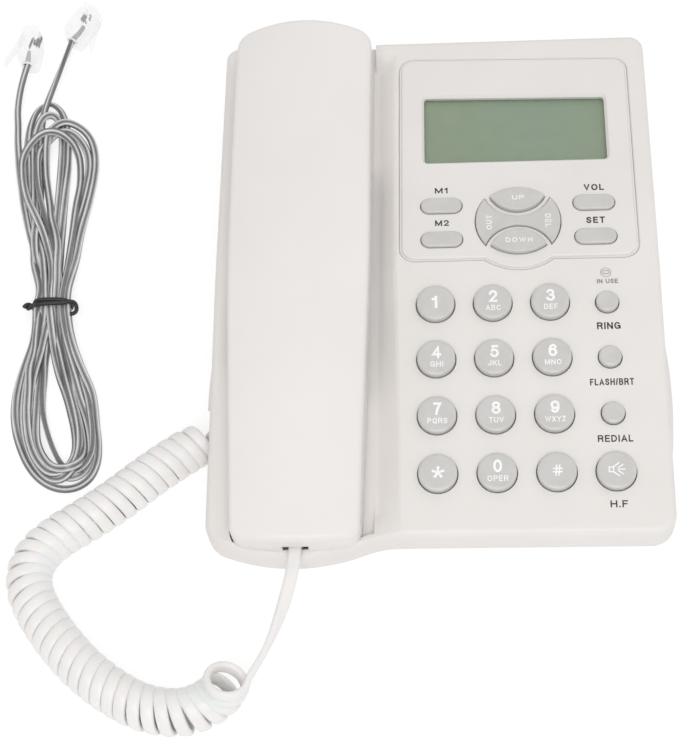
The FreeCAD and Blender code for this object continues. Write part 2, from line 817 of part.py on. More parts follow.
# ---------------------------------------------------------------- feet and screws
FEET = [(-58.0, 74.0), (58.0, 76.0), (-58.0, -76.0), (58.0, -74.0)]
feet = group("rubber_feet", *[cyl(None, fx, fy, 0, D("foot_r"), D("plate_z")) for fx, fy in FEET])
screws = []
for bx, by in BOSS:
    screws.append(
        fuse(None, cyl(None, bx, by, 2.7, 2.8, 1.3), cyl(None, bx, by, 3.9, 1.2, 6.0))
    )
screw_group = group("base_screws", *screws)


# ---------------------------------------------------------------- round keys
def round_key(name, u, v, hole):
    b = body(name)
    s = sketch(b, "XZ_Plane")
    r = D(hole) - D("key_gap")
    top = D("key_proud") if hole == "key_hole" else D("key_proud") - 0.5
    fl = D(hole) + D("key_flange") * (1.0 if hole == "key_hole" else 0.7)
    poly(
        s,
        [
            (0, -D("key_stem")),
            (r * 0.5, -D("key_stem")),
            (r * 0.5, -3.6),
            (fl, -3.6),
            (fl, -2.7),
            (r, -2.7),
            (r, top - 0.55),
            (r - 0.25, top - 0.2),
            (r - 0.8, top),
            (r * 0.55, top - 0.12),
            (0, top - 0.2),
        ],
    )
    revolve(b, s)
    face_place(b, u, v)
    return b


nodes = []
for name, (u, v, hole) in KEYS.items():
    nodes.append(round_key(name, u, v, hole))


# ---------------------------------------------------------------- pill keys on the panel
def pill_key(name, side, row):
    b = body(name)
    s = sketch(b, z=Q.of(-2.0))
    rect(s, D("pill_wide"), D("pill_tall"))
    pad(b, s, 3.5)
    dress(b, "Fillet", D("pill_tall") / 2 - 0.02, upright)
    dress(b, "Fillet", 0.7, at_z(1.5))
    s = sketch(b, z=Q.of(-2.9))
    rect(s, D("pill_wide") + 1.8, D("pill_tall") + 1.8)
    pad(b, s, 1.0)
    s = sketch(b, z=Q.of(-4.2))
    rect(s, 6, 3)
    pad(b, s, 1.4)
    panel_place(b, D("pan_mid") + side * D("pill_x"), D(row))
    return b


nodes.append(pill_key("key_m1", Q.of(-1), "pill_hi"))
nodes.append(pill_key("key_m2", Q.of(-1), "pill_lo"))
nodes.append(pill_key("key_volume", Q.of(1), "pill_hi"))
nodes.append(pill_key("key_set", Q.of(1), "pill_lo"))

# ---------------------------------------------------------------- menu cluster: two lenses and a bow-tie rocker
R_IN = 10.55  # inner arc of a lens
TIPX, TIPY, APEX_IN, APEX_OUT = 9.6, 9.75, 3.4, 13.2


def lens_geo(sign, grow):
    """Lens with its outer arc on the rim side; grown by grow."""
    ri = R_IN + grow
    ro = (TIPX**2 + (APEX_OUT - TIPY) ** 2) / (2 * (APEX_OUT - TIPY)) + grow
    ci = (0.0, sign * (APEX_IN + R_IN))
    co = (0.0, sign * (APEX_OUT - ro + grow))
    # crossing of the two circles
    d = abs(ci[1] - co[1])
    a = (ri * ri - ro * ro + d * d) / (2 * d)
    hx = math.sqrt(ri * ri - a * a)
    up = 1 if co[1] > ci[1] else -1
    yy = ci[1] + up * a
    pi = V(0, ci[1] - sign * ri, 0)
    po = V(0, co[1] + sign * ro, 0)
    l, r = V(-hx, yy, 0), V(hx, yy, 0)
    return [Part.Arc(l, pi, r), Part.Arc(r, po, l)]


def bow_geo(grow):
    """Bow-tie between the lenses: rim arcs left and right, hollow arcs above and below."""
    ro = val["nav_rim"] + grow
    ri = R_IN + 1.25 - grow
    c = APEX_IN + R_IN
    y = (ro * ro - ri * ri + c * c) / (2 * c)
    x = math.sqrt(ro * ro - y * y)
    a, b, cc, d = V(x, y, 0), V(x, -y, 0), V(-x, -y, 0), V(-x, y, 0)
    return [
        Part.Arc(b, V(ro, 0, 0), a),
        Part.Arc(a, V(0, c - ri, 0), d),
        Part.Arc(d, V(-ro, 0, 0), cc),
        Part.Arc(cc, V(0, -c + ri, 0), b),
    ]


def nav_key(name, geo, geo_wide, top):
    b = body(name)
    s = sketch(b, z=Q.of(-2.0))
    s.addGeometry(geo, False)
    pad(b, s, top + 2.0)
    dress(b, "Fillet", 0.55, at_z(top))
    s = sketch(b, z=Q.of(-2.9))
    s.addGeometry(geo_wide, False)
    pad(b, s, 1.0)
    panel_place(b, D("pan_mid"), D("nav_y"))
    return b


nodes.append(nav_key("key_up", lens_geo(1, -0.3), lens_geo(1, 0.3), 2.2))
nodes.append(nav_key("key_down", lens_geo(-1, -0.3), lens_geo(-1, 0.3), 2.2))
rocker = nav_key("key_out_del", bow_geo(-0.3), bow_geo(-0.3), 1.4)
s = sketch(rocker, "XZ_Plane", y=Q.of(-2.6))
circle(s, 0.75)
pad(rocker, s, 4.2, mid=True)
nodes.append(rocker)

# ---------------------------------------------------------------- display_bezel
def window_points(grow):
    """Corners of the display window about its middle; the upper edge rises a little to the left."""
    w, t, k = val["lcd_wide"] / 2, val["lcd_tall"] / 2, val["lcd_skew"]
    return [(-w - grow, -t - grow), (w + grow, -t - grow), (w + grow, t + grow), (-w - grow, t + k + grow)]


bz = body("display_bezel")
# a lip just below the case face makes the floor of the shallow groove round the panel
s = sketch(bz, z=Q.of(-1.9))
s.addGeometry(pan_items(0.15), False)
pad(bz, s, 1.5)
s = sketch(bz, z=Q.of(-0.6))
s.addGeometry(pan_items(-0.45), False)
pad(bz, s, 1.1)
dress(bz, "Fillet", 0.75, at_z(0.5))
s = sketch(bz, z=Q.of(-3.4))
s.addGeometry(pan_items(1.6), False)
pad(bz, s, 0.9)
s = sketch(bz, z=Q.of(-2.6))
s.addGeometry(pan_items(-val["pan_gap"] * 0.5), False)
pad(bz, s, 0.8)
# no flange on the cradle side, where the case wall slopes away underneath
s = sketch(bz, x=D("pan_mid") - D("pan_wide") / 2 - 2.0, y=Q.of(47.0), z=Q.of(-4.0))
rect(s, 4.0, 100.0)
pocket(bz, s, 1.6, back=True)
# hollow underside
s = sketch(bz, z=Q.of(-4.0))
s.addGeometry(pan_items(-3.2), False)
pocket(bz, s, 2.5, back=True)
# display window with a sloped surround
s = sketch(bz, x=D("pan_mid"), y=D("lcd_y"), z=Q.of(3.0))
poly(s, window_points(0.0))
pocket(bz, s, 8)
dress(
    bz,
    "Fillet",
    1.2,
    lambda e: upright(e)
    and abs(abs(e.BoundBox.Center.x - val["pan_mid"]) - val["lcd_wide"] / 2) < 0.1
    and abs(abs(e.BoundBox.Center.y - val["lcd_y"]) - val["lcd_tall"] / 2) < 0.1 + val["lcd_skew"],
)
dress(
    bz,
    "Chamfer",
    0.9,
    lambda e: abs(e.BoundBox.ZMin - 0.5) < 1e-3
    and abs(e.BoundBox.ZMax - 0.5) < 1e-3
    and abs(e.BoundBox.Center.x - val["pan_mid"]) < val["lcd_wide"] / 2 + 0.1
    and abs(e.BoundBox.Center.y - val["lcd_y"]) < val["lcd_tall"] / 2 + 0.1 + val["lcd_skew"],
)
for side in (-1, 1):
    for row in ("pill_hi", "pill_lo"):
        s = sketch(bz, x=D("pan_mid") + side * D("pill_x"), y=D(row), z=Q.of(3.0))
        n = s.GeometryCount
        hw, hh = val["pill_wide"] / 2 + 0.3, val["pill_tall"] / 2 + 0.3
        s.addGeometry(
            [
                Part.LineSegment(V(-hw + hh, -hh), V(hw - hh, -hh)),
                Part.Arc(V(hw - hh, -hh), V(hw, 0), V(hw - hh, hh)),
                Part.LineSegment(V(hw - hh, hh), V(-hw + hh, hh)),
                Part.Arc(V(-hw + hh, hh), V(-hw, 0), V(-hw + hh, -hh)),
            ],
            False,
        )
        pocket(bz, s, 8)
for geo in (lens_geo(1, 0.0), lens_geo(-1, 0.0), bow_geo(0.0)):
    s = sketch(bz, x=D("pan_mid"), y=D("nav_y"), z=Q.of(3.0))
    s.addGeometry(geo, False)
    pocket(bz, s, 8)
# the sketch plane of the bezel is the panel face: local y 0 lies at Y 0
panel_place(bz, 0, 0, 0)
nodes.append(bz)

# ---------------------------------------------------------------- display stack
lens = body("lcd_window")
s = sketch(lens, z=Q.of(-2.1))
poly(s, window_points(1.5))
pad(lens, s, 0.55)
s = sketch(lens, z=Q.of(-2.0))
poly(s, window_points(-0.15))
pad(lens, s, 1.5)
dress(lens, "Fillet", 1.2, lambda e: upright(e) and e.BoundBox.ZMax > -0.6)
panel_place(lens, D("pan_mid"), D("lcd_y"))
nodes.append(lens)

lcd = body("lcd_module")
s = sketch(lcd, z=Q.of(-5.6))
rect(s, D("lcd_wide") + 5.0, D("lcd_tall") + 7.0)
pad(lcd, s, 3.3)
dress(lcd, "Chamfer", 0.6, upright)
panel_place(lcd, D("pan_mid"), D("lcd_y"))
nodes.append(lcd)

db = body("display_board")
s = sketch(db, z=Q.of(-7.2))
rect(s, 72.0, 66.0)
pad(db, s, 1.5)
dress(db, "Fillet", 2.0, upright)
panel_place(db, D("pan_mid"), 44.0)
nodes.append(db)

# ---------------------------------------------------------------- keypad stack
mem = body("keypad_membrane")
s = sketch(mem, x=Q.of(9.5), z=Q.of(-8.0))
rect(s, 74.0, 76.0)
pad(mem, s, 0.8)
dress(mem, "Fillet", 3.0, upright)
s = sketch(mem, z=Q.of(-7.3))
for name, (u, v, hole) in KEYS.items():
    s.addGeometry(Part.Circle(V(u.v, v.v, 0), V(0, 0, 1), 3.6 if hole == "key_hole" else 2.6), False)
pad(mem, s, 0.4)
face_place(mem, 0, 0)
nodes.append(mem)

kb = body("keypad_board")
s = sketch(kb, x=Q.of(9.5), z=Q.of(-9.6))
rect(s, 76.0, 77.0)
pad(kb, s, 1.6)
dress(kb, "Fillet", 2.0, upright)
face_place(kb, 0, 0)
nodes.append(kb)

mb = body("main_board")
s = sketch(mb, x=Q.of(30.0), y=Q.of(54.0), z=Q.of(8.0))
rect(s, 74.0, 66.0)
pad(mb, s, 1.6)
dress(mb, "Fillet", 2.0, upright)
for px, py, w, h, t in (
    (12, 40, 16, 12, 3.0),
    (40, 38, 12, 12, 2.4),
    (58, 62, 8, 14, 5.0),
    (14, 70, 10, 8, 6.0),
):
    s = sketch(mb, x=Q.of(px), y=Q.of(py), z=Q.of(9.5))
    rect(s, w, h)
    pad(mb, s, t)
nodes.append(mb)

# ---------------------------------------------------------------- lamp lens
lamp = body("in_use_lens")
s = sketch(lamp, "XZ_Plane")
poly(s, [(0, -4.0), (2.6, -4.0), (2.6, -2.9), (1.65, -2.9), (1.65, 0.1), (1.3, 0.35), (0, 0.45)])
revolve(lamp, s)
place(lamp, 56.7, -0.1, face_z(-0.1) - 0.05, key_rot)
nodes.append(lamp)

# ---------------------------------------------------------------- hook plunger and switch
hook_floor = face_z(hook_y) - val["floor_cut"]
pl = body("hook_plunger")
s = sketch(pl, z=Q.of(0))
rect(s, 10.2, 8.2)
pad(pl, s, 4.7)
dress(pl, "Fillet", 2.0, upright)
dress(pl, "Fillet", 1.4, at_z(4.7))
s = sketch(pl, z=Q.of(0))
rect(s, 10.2, 8.2)
pad(pl, s, 6.9, back=True)
s = sketch(pl, z=Q.of(-8.2))
rect(s, 13.6, 11.4)
pad(pl, s, 1.4)
s = sketch(pl, z=Q.of(-8.1))
rect(s, 4.0, 4.0)
pad(pl, s, 2.4, back=True)
place(pl, D("hs_x"), hook_y, hook_floor)
nodes.append(pl)

hs_sw = body("hook_switch")
s = sketch(hs_sw, z=Q.of(plate_z1))
rect(s, 16.0, 9.0)
pad(hs_sw, s, 5.8)
s = sketch(hs_sw, z=Q.of(plate_z1 + 5.7))
rect(s, 9.0, 2.4)
pad(hs_sw, s, 1.6)
place(hs_sw, D("hs_x"), hook_y, 0)
nodes.append(hs_sw)

# ---------------------------------------------------------------- loudspeaker and base microphone
spk = body("loudspeaker")
s = sketch(spk, "XZ_Plane")
poly(
    s,
    [(0, 0), (20.0, 0), (24.4, 2.6), (24.4, 4.2), (12.5, 4.8), (12.5, 8.4), (0, 8.4)],
)
revolve(spk, s)
place(spk, SPK[0], SPK[1], plate_z1 + 0.0)
nodes.append(spk)

bm = body("base_microphone")
s = sketch(bm, "XY_Plane")
circle(s, 3.0)
pad(bm, s, 5.0)
place(bm, 46.0, -81.8, plate_z1)
nodes.append(bm)


# ---------------------------------------------------------------- modular sockets (local: mouth at y 0, body to -y, floor z 0)
def make_socket(label, w, h, depth, cw, ch, cdeep, cz, tab):
    """Block with the stepped opening of a modular jack; the mouth faces local +Y at y 0."""
    b = body(label)
    s = sketch(b, "XY_Plane", y=Q.of(-depth / 2.0))
    rect(s, w, depth)
    pad(b, s, h)
    s = sketch(b, "XY_Plane", y=Q.of(-cdeep / 2.0 + 1.0), z=Q.of(cz))
    rect(s, cw, cdeep + 2.0)
    pocket(b, s, ch, back=True)
    # latch groove under the opening
    s = sketch(b, "XY_Plane", y=Q.of(-cdeep / 2.0 + 1.0), z=Q.of(cz - 1.2))
    rect(s, tab, cdeep + 2.0)
    pocket(b, s, 1.3, back=True)
    return b


lj = make_socket("line_jack", 12.0, 10.4, 15.0, 9.95, 6.9, 12.0, 2.2, 6.4)
place(lj, 40.0, 96.8, 13.8)
nodes.append(lj)

cj = make_socket("base_cord_jack", 11.4, 9.6, 13.5, 7.95, 6.7, 11.8, 1.9, 4.6)
place(cj, -62.7, -45.5, 4.5, Rot(V(0, 0, 1), 90))
nodes.append(cj)

# ---------------------------------------------------------------- handset forms (local frame on the chord of its back)
TH = math.radians(val["hs_tilt"])
HR, HL = val["hs_back_r"], val["hs_half_len"]
HC = math.sqrt(HR * HR - HL * HL)  # axis of the back lies this far below the chord


def to_local(y, z):
    dy, dz = y - val["hs_y"], z - val["hs_z"]
    return dy * math.cos(TH) + dz * math.sin(TH), -dy * math.sin(TH) + dz * math.cos(TH)


def hs_plan(off):
    """Plan of the handset: parallel at the ear end, tapering to the mouth end, arched ends."""
    a, b, L = val["hs_half"], val["hs_half_front"], HL
    ear_r, rc = 66.0, 6.5
    # ear arc: centre on the axis, corner circles tangent to the sides and the arc
    ce = L - ear_r
    dx = a - rc
    yc = ce + math.sqrt((ear_r - rc) ** 2 - dx * dx)
    ang = math.degrees(math.atan2(yc - ce, dx))
    mouth_r, rm = 110.0, 5.0
    cm = -L + mouth_r
    t = math.atan2(a - b, 86.0)  # half taper from y 0 to the mouth corner
    # corner circle near the mouth, tangent to the tapered side and the mouth arc
    # side line: from (a, 0) towards (b, -86)
    nxv, nyv = math.cos(t), -math.sin(t)
    # centre = point at distance rm inside the side line and mouth_r - rm from (0, cm)
    lo, hi = -L, -L + 40
    for _ in range(60):
        y = (lo + hi) / 2
        x = a + (y / 86.0) * (a - b) - rm / math.cos(t)
        if math.hypot(x, y - cm) > mouth_r - rm:
            lo = y
        else:
            hi = y
    x = a + (y / 86.0) * (a - b) - rm / math.cos(t)
    am = math.degrees(math.atan2(y - cm, x))
    td = math.degrees(t)
    ease = 20.0
    big = ease / math.tan(t / 2)
    return chain(
        [
            (a - big, ease, big, -td, 0.0),
            (a - rc, yc, rc, 0.0, ang),
            (0.0, ce, ear_r, ang, 180 - ang),
            (-a + rc, yc, rc, 180 - ang, 180.0),
            (-a + big, ease, big, 180.0, 180.0 + td),
            (-x, y, rm, 180.0 + td, 180.0 - am),
            (0.0, cm, mouth_r, 180.0 - am, 360.0 + am),
            (x, y, rm, am, -td),
        ],
        off,
    )


def hs_ring(r_top, r_low, half, flat=False):
    """Slice of revolution about the axis of the back: crowned top, straight sides."""
    b = body(nm("handset_form"))
    s = sketch(b, "XZ_Plane", y=Q.of(-HC))
    c = 0.0 if flat else val["hs_crown"] * (half / val["hs_half"]) ** 2
    top = Part.LineSegment(V(half, r_top), V(-half, r_top)) if flat else Part.Arc(V(half, r_top - c), V(0, r_top), V(-half, r_top - c))
    s.addGeometry(
        [
            Part.LineSegment(V(-half, r_low), V(half, r_low)),
            Part.LineSegment(V(half, r_low), V(half, top.StartPoint.y)),
            top,
            Part.LineSegment(V(-half, top.EndPoint.y), V(-half, r_low)),
        ],
        False,
    )
    doc.recompute()
    revolve(b, s, "H_Axis", 18.0, mid=True)
    return b


F4, W7 = val["floor_cut"], val["well_cut"]
RIM_GAP = 0.4


def under_points(shift):
    """Underside of the handset in its own frame, lifted by shift."""
    pts = []
    for y, z in (
        (112.0, face_z(112.0) - F4 + RIM_GAP),
        (47.0, face_z(47.0) - F4 + RIM_GAP),
        (36.0, 30.0),
        (-30.0, 26.3),
        (-45.0, face_z(-45.0) - F4 + RIM_GAP),
        (-112.0, face_z(-112.0) - F4 + RIM_GAP),
    ):
        a, b = to_local(y, z)
        pts.append(V(a, b + shift, 0))
    return pts


def under_form(shift, half):
    """Everything above the underside, across the given half width."""
    p = under_points(shift)
    q = [V(-130, 60, 0), V(130, 60, 0)]
    pts = p + q
    geo = [Part.LineSegment(pts[i], pts[(i + 1) % len(pts)]) for i in range(len(pts))]
    return extrude(free_sketch(geo, YZ, x=-half), 2 * half)


def cap_form(off, shift, which):
    """Ear or mouth cap: a pad under the rim that drops into the cradle well."""
    if which == "ear":
        y0, y1, hw, r = 52.0, 89.0, 17.2, 8.0
    else:
        y0, y1, hw, r = -88.6, -58.0, 15.2, 8.0
    plan = extrude(free_sketch(round_rect(HX - hw + off, HX + hw - off, y0 + off, y1 - off, r - off), z=0), 40)
    low = extrude(free_sketch(profile(W7 - 0.5 - shift, top=70.0), YZ, x=-110), 220)
    rim = extrude(free_sketch(profile(F4 - 2.6, low=-20.0), YZ, x=-110), 220)
    return common(None, plan, low, rim)


HS_ROT = TILT(val["hs_tilt"])


def hs_place(o):
    place(o, D("hs_x"), D("hs_y"), D("hs_z"), HS_ROT)
    return o


plan_out = lambda off: extrude(free_sketch(hs_plan(off), z=-60), 110)
PART_R = HR - val["hs_crown"] - 5.0  # parting surface of the two handset shells

# back shell
hw = val["hs_half"] + 1.5
top_solid = hs_ring(HR, PART_R + 0.12, hw)
raw_back = common(None, top_solid, plan_out(0.0), under_form(0.0, 40))
doc.recompute()


def rim_edges(sh, radius):
    """Edges between the crowned back and the sides."""
    out = []
    for i, e in enumerate(sh.Edges, 1):
        m = e.valueAt((e.FirstParameter + e.LastParameter) / 2)
        r = math.hypot(m.y, m.z + HC)
        fs = sh.ancestorsOfType(e, Part.Face)
        n = []
        for f in fs:
            u, v = f.Surface.parameter(m)
            n.append(abs(f.normalAt(u, v).z))
        if len(n) == 2 and max(n) > 0.85 and min(n) < 0.35 and r > HR - val["hs_crown"] - 2.2:
            out.append((i, radius))
    return out


back_round = fillet_of(None, raw_back, rim_edges(raw_back.Shape, 2.0))
if back_round.Shape.isNull() or not back_round.Shape.isValid():
    raise RuntimeError("the handset rim fillet failed")
HW = val["hs_wall"]
back_core = common(None, hs_ring(HR - HW, PART_R - 1.0, hw - HW), plan_out(HW), under_form(-3.0, 40))
jack_y, jack_z = to_local(-95.5, 17.9)
PLUG_AXIS = 0.9  # the cord leaves its plug this far above the plug's middle
plug_hole_b = box(None, -4.2, -HL - 3.0, jack_z - 7.5, 8.4, 8.0, 9.9)
SCREW_Y = []
for sy, sz in ((28.0, 29.55), (-26.0, 26.52)):
    SCREW_Y.append(to_local(sy, sz))
posts_b = [
    cut(None, cyl(None, 0, sy, -2.6, 3.2, 7.4), cyl(None, 0, sy, -2.7, 1.05, 5.4)) for sy, sz in SCREW_Y
]
back = cut(None, fuse(None, cut(None, back_round, back_core), *posts_b), plug_hole_b)
back.Label = "handset_back_shell"
hs_place(back)

# inner shell: rim, arched grip and the two caps
inner_ring = hs_ring(PART_R - 0.12, HR - 60.0, hw, flat=True)
inner_solid_local = common(None, inner_ring, plan_out(0.0), under_form(0.0, 40))
inner_core_local = common(None, hs_ring(PART_R + 2.0, HR - 62.0, hw - HW, flat=True), plan_out(HW), under_form(HW, 40))
posts_i = [cyl(None, 0, sy, sz + 1.0, 3.5, -3.4 - sz - 1.0) for sy, sz in SCREW_Y]
bores_i = [cyl(None, 0, sy, sz - 2.0, 2.5, 4.4) for sy, sz in SCREW_Y]
bores_i += [cyl(None, 0, sy, sz - 2.0, 1.3, 12.0) for sy, sz in SCREW_Y]
inner_cut = cut(None, fuse(None, cut(None, inner_solid_local, inner_core_local), *posts_i), fuse(None, *bores_i))
hs_place(inner_cut)
ear_cap, mouth_cap = cap_form(0.0, 0.0, "ear"), cap_form(0.0, 0.0, "mouth")
ear_in, mouth_in = cap_form(HW, HW, "ear"), cap_form(HW, HW, "mouth")
cap_holes = []
for k in range(5):
    cap_holes.append(box(None, HX - 7.0, 62.0 + 3.8 * k, 10, 14.0, 1.5, 40))
for k in range(3):
    cap_holes.append(box(None, HX - 4.0, -76.0 + 3.4 * k, 0, 8.0, 1.3, 25))


def hs_local(o, x, y, z, rot=None):
    """Place o, modelled about its own origin, at a point of the handset frame."""
    place(
        o,
        val["hs_x"] + x,
        val["hs_y"] + y * math.cos(TH) - z * math.sin(TH),
        val["hs_z"] + y * math.sin(TH) + z * math.cos(TH),
        HS_ROT if rot is None else HS_ROT.multiply(rot),
    )
    return o


plug_hole = hs_local(box(None, 0, 0, 0, 8.4, 8.0, 9.9), -4.2, -HL - 3.0, jack_z - 7.5)
# seat of the cord socket, cut into the floor of the shell from the inside
jack_seat = hs_local(box(None, 0, 0, 0, 10.9, 12.9, 16.0), -5.45, -HL + 2.1, jack_z - PLUG_AXIS - 1.5 - 3.35 - 0.15)
# the mouth end drops into the cradle and its chin reaches over the front lip
well_room = common(
    None,
    extrude(free_sketch(cradle_plan(-0.7), z=-5), 80),
    extrude(free_sketch(base_outline(2.9, 0, val["front_y"], val["nose_y"]), z=-5), 80),
)
over_lip = extrude(free_sketch(profile(-0.45, low=-20.0), YZ, x=-110), 220)
chin = common(None, cut(None, box(None, -100, -120, -5, 100, 45, 60), well_room), over_lip)
# the ear end is flush with the rear of the base below
ear_end = box(None, -100, 96.9, -5, 110, 20, 65)
inner_shell = cut(
    "handset_inner_shell",
    fuse(None, inner_cut, ear_cap, mouth_cap),
    fuse(None, ear_in, mouth_in, plug_hole, jack_seat, chin, ear_end, *cap_holes),
)
doc.recompute()


# ---------------------------------------------------------------- inside the handset
rc = body("earpiece_receiver")
s = sketch(rc, "XZ_Plane")
poly(s, [(0, 0), (12.6, 0), (13.6, 1.0), (13.6, 4.6), (8.5, 6.6), (0, 6.6)])
revolve(rc, s)
ry, rz = to_local(70.5, face_z(70.5) - W7 + 0.5 + HW + 1.5)
hs_local(rc, 0, ry, rz)
nodes.append(rc)

hm = body("handset_microphone")
s = sketch(hm, "XZ_Plane")
poly(s, [(0, 0), (4.8, 0), (4.8, 5.0), (0, 5.0)])
revolve(hm, s)
my, mz = to_local(-72.0, face_z(-72.0) - W7 + 0.5 + HW + 0.3)
hs_local(hm, 0, my, mz)
nodes.append(hm)

wt = body("handset_weight")
s = sketch(wt)
rect(s, 26.0, 44.0)
pad(wt, s, 3.2)
dress(wt, "Chamfer", 1.0, upright)
wy, wz = to_local(2.0, 28.2 + HW + 1.9)
hs_local(wt, 0, wy, wz)
nodes.append(wt)

hj = make_socket("handset_jack", 10.6, 9.2, 12.5, 7.95, 6.7, 11.0, 1.5, 4.6)
hs_local(hj, 0, -HL + 2.3, jack_z - PLUG_AXIS - 1.5 - 3.35, Rot(V(0, 0, 1), 180))
nodes.append(hj)

hsc = []
for sy, sz in SCREW_Y:
    head = cyl(None, 0, sy, sz + 1.1, 2.2, 1.25)
    shaft = cyl(None, 0, sy, sz + 2.2, 1.0, 2.1 - sz - 2.2)
    hsc.append(hs_place(fuse(None, head, shaft)))
hs_screws = group("handset_screws", *hsc)


# ---------------------------------------------------------------- plugs (local: nose at y 0, tail towards +y, floor z 0)
def plug(label, w, h, length, tab_w, drop):
    b = body(label)
    s = sketch(b, "YZ_Plane")
    poly(
        s,
        [
            (0, 0.6),
            (0.8, 0.0),
            (length - 1.0, 0.0),
            (length, 0.8),
            (length, h - 0.9),
            (length - 1.2, h - 0.1),
            (5.2, h),
            (0, h - 1.1),
        ],
    )
    pad(b, s, w, mid=True)
    # contact slots in the nose
    for k in (-1.5, -0.5, 0.5, 1.5):
        s = sketch(b, "XY_Plane", x=Q.of(k * 1.02), y=Q.of(1.4), z=Q.of(h + 1.0))
        rect(s, 0.45, 3.2)
        pocket(b, s, 2.6)
    # latch lever under the body, free towards the tail
    s = sketch(b, "YZ_Plane")
    poly(s, [(0.4, 0.05), (1.8, 0.05), (length + 0.6, 0.8 - drop), (length + 0.6, -drop), (0.4, -0.75)])
    pad(b, s, tab_w, mid=True)
    return b


nodes_plug = []
hp = plug("handset_plug", val["small_plug_w"], 6.2, 10.4, 3.0, 1.05)
nodes_plug.append(hp)
bp = plug("base_plug", val["small_plug_w"], 6.2, 10.4, 3.0, 1.05)
nodes_plug.append(bp)
# in the handset: nose inwards, tail at the mouth end, latch side down
hs_local(hp, 0, -HL + 2.3 + 10.6, jack_z - PLUG_AXIS - 3.1, Rot(V(0, 0, 1), 180))
place(bp, -62.7 + 10.9, -45.5, 4.5 + 1.9 + 0.25, Rot(V(0, 0, 1), 90))


# ---------------------------------------------------------------- cords
def rounded_path(pts, label):
    """Straight runs joined by tangent arcs, each arc as large as its runs allow."""
    P = [V(*p) for p in pts]
    edges, radii = [], []
    cur = P[0]
    for i in range(1, len(P) - 1):
        a, b, c = P[i - 1], P[i], P[i + 1]
        d1, d2 = (b - a), (c - b)
        run = min(d1.Length, d2.Length)
        d1.normalize()
        d2.normalize()
        turn = d1.getAngle(d2)
        r = 0.45 * run / math.tan(turn / 2)
        radii.append(r)
        t = 0.45 * run
        s1 = b - d1 * t
        s2 = b + d2 * t
        bis = (d2 - d1)
        bis.normalize()
        mid = b + bis * (r / math.cos(turn / 2) - r)
        if (s1 - cur).Length > 1e-6:
            edges.append(Part.LineSegment(cur, s1).toShape())
        edges.append(Part.Arc(s1, mid, s2).toShape())
        cur = s2
    edges.append(Part.LineSegment(cur, P[-1]).toShape())
    w = Part.Wire(edges)
    print(label, "length %.1f mm, arc radii mm:" % w.Length, " ".join("%.0f" % r for r in radii))
    return w


def tube(label, pts, d):
    w = rounded_path(pts, label)
    start = w.Edges[0]
    p = start.valueAt(start.FirstParameter)
    t = start.tangentAt(start.FirstParameter)
    c = Part.Wire([Part.makeCircle(d / 2, p, t)])
    sh = w.makePipeShell([c], True, False)
    if sh.Volume < 0:
        sh.reverse()
    want = math.pi * d * d / 4 * w.Length
    print(label, "volume %.0f of %.0f mm3, valid %s" % (sh.Volume, want, sh.isValid()))
    if abs(sh.Volume / want - 1) > 0.02 or not sh.isValid():
        raise RuntimeError("bad tube " + label)
    o = doc.addObject("Part::Feature", nm("Cord"))
    o.Shape = sh
    o.Label = label
    return o


TD, CD, LD = val["tail_d"], val["coil_d"], val["lead_d"]
# tail of the curly cord: out of the handset over the lip, on to the top of the standing coils
plug_tail_y = -HL + 2.3 + 0.2 - 0.35
hp_tail = (
    val["hs_x"],
    val["hs_y"] + plug_tail_y * math.cos(TH) - jack_z * math.sin(TH),
    val["hs_z"] + plug_tail_y * math.sin(TH) + jack_z * math.cos(TH),
)
print("cord leaves the handset plug at", [round(c, 3) for c in hp_tail])
TAIL = [
    hp_tail,
    (-45.6, -98.6, 17.9),
    (-46.4, -104.6, 17.6),
    (-47.9, -111.4, 16.9),
    (-50.3, -119.2, 15.9),
    (-53.3, -127.0, 15.1),
    (-56.7, -133.8, 15.0),
]
# the last coils before the handset stand up and face the ceiling
COIL = [
    (-64.8, -137.6, 17.4),
    (-65.9, -138.6, 12.4),
    (-69.0, -141.0, 8.9),
    (-74.5, -144.0, 7.6),
    (-81.2, -145.8, 7.55),
    (-92.0, -144.2, 7.55),
    (-102.2, -138.7, 7.55),
    (-112.2, -131.2, 7.55),
    (-121.0, -121.7, 7.55),
    (-128.2, -111.8, 7.55),
    (-132.8, -102.0, 7.55),
    (-131.4, -92.6, 7.55),
    (-124.6, -85.6, 7.55),
    (-115.2, -79.6, 7.55),
    (-106.2, -73.0, 7.55),
    (-97.0, -65.6, 7.55),
    (-90.4, -59.5, 7.55),
    (-83.8, -54.6, 7.55),
]
BASE_TAIL = [
    (-83.8, -54.6, 7.55),
    (-79.0, -50.6, 8.0),
    (-73.6, -47.2, 8.9),
    (-67.9, -45.7, 9.4),
    (-62.2, -45.5, 9.75),
]
coil = tube("handset_cord_coil", COIL, CD)
tail = tube("handset_cord_tail", TAIL, TD)
btail = tube("base_cord_tail", BASE_TAIL, 3.2)


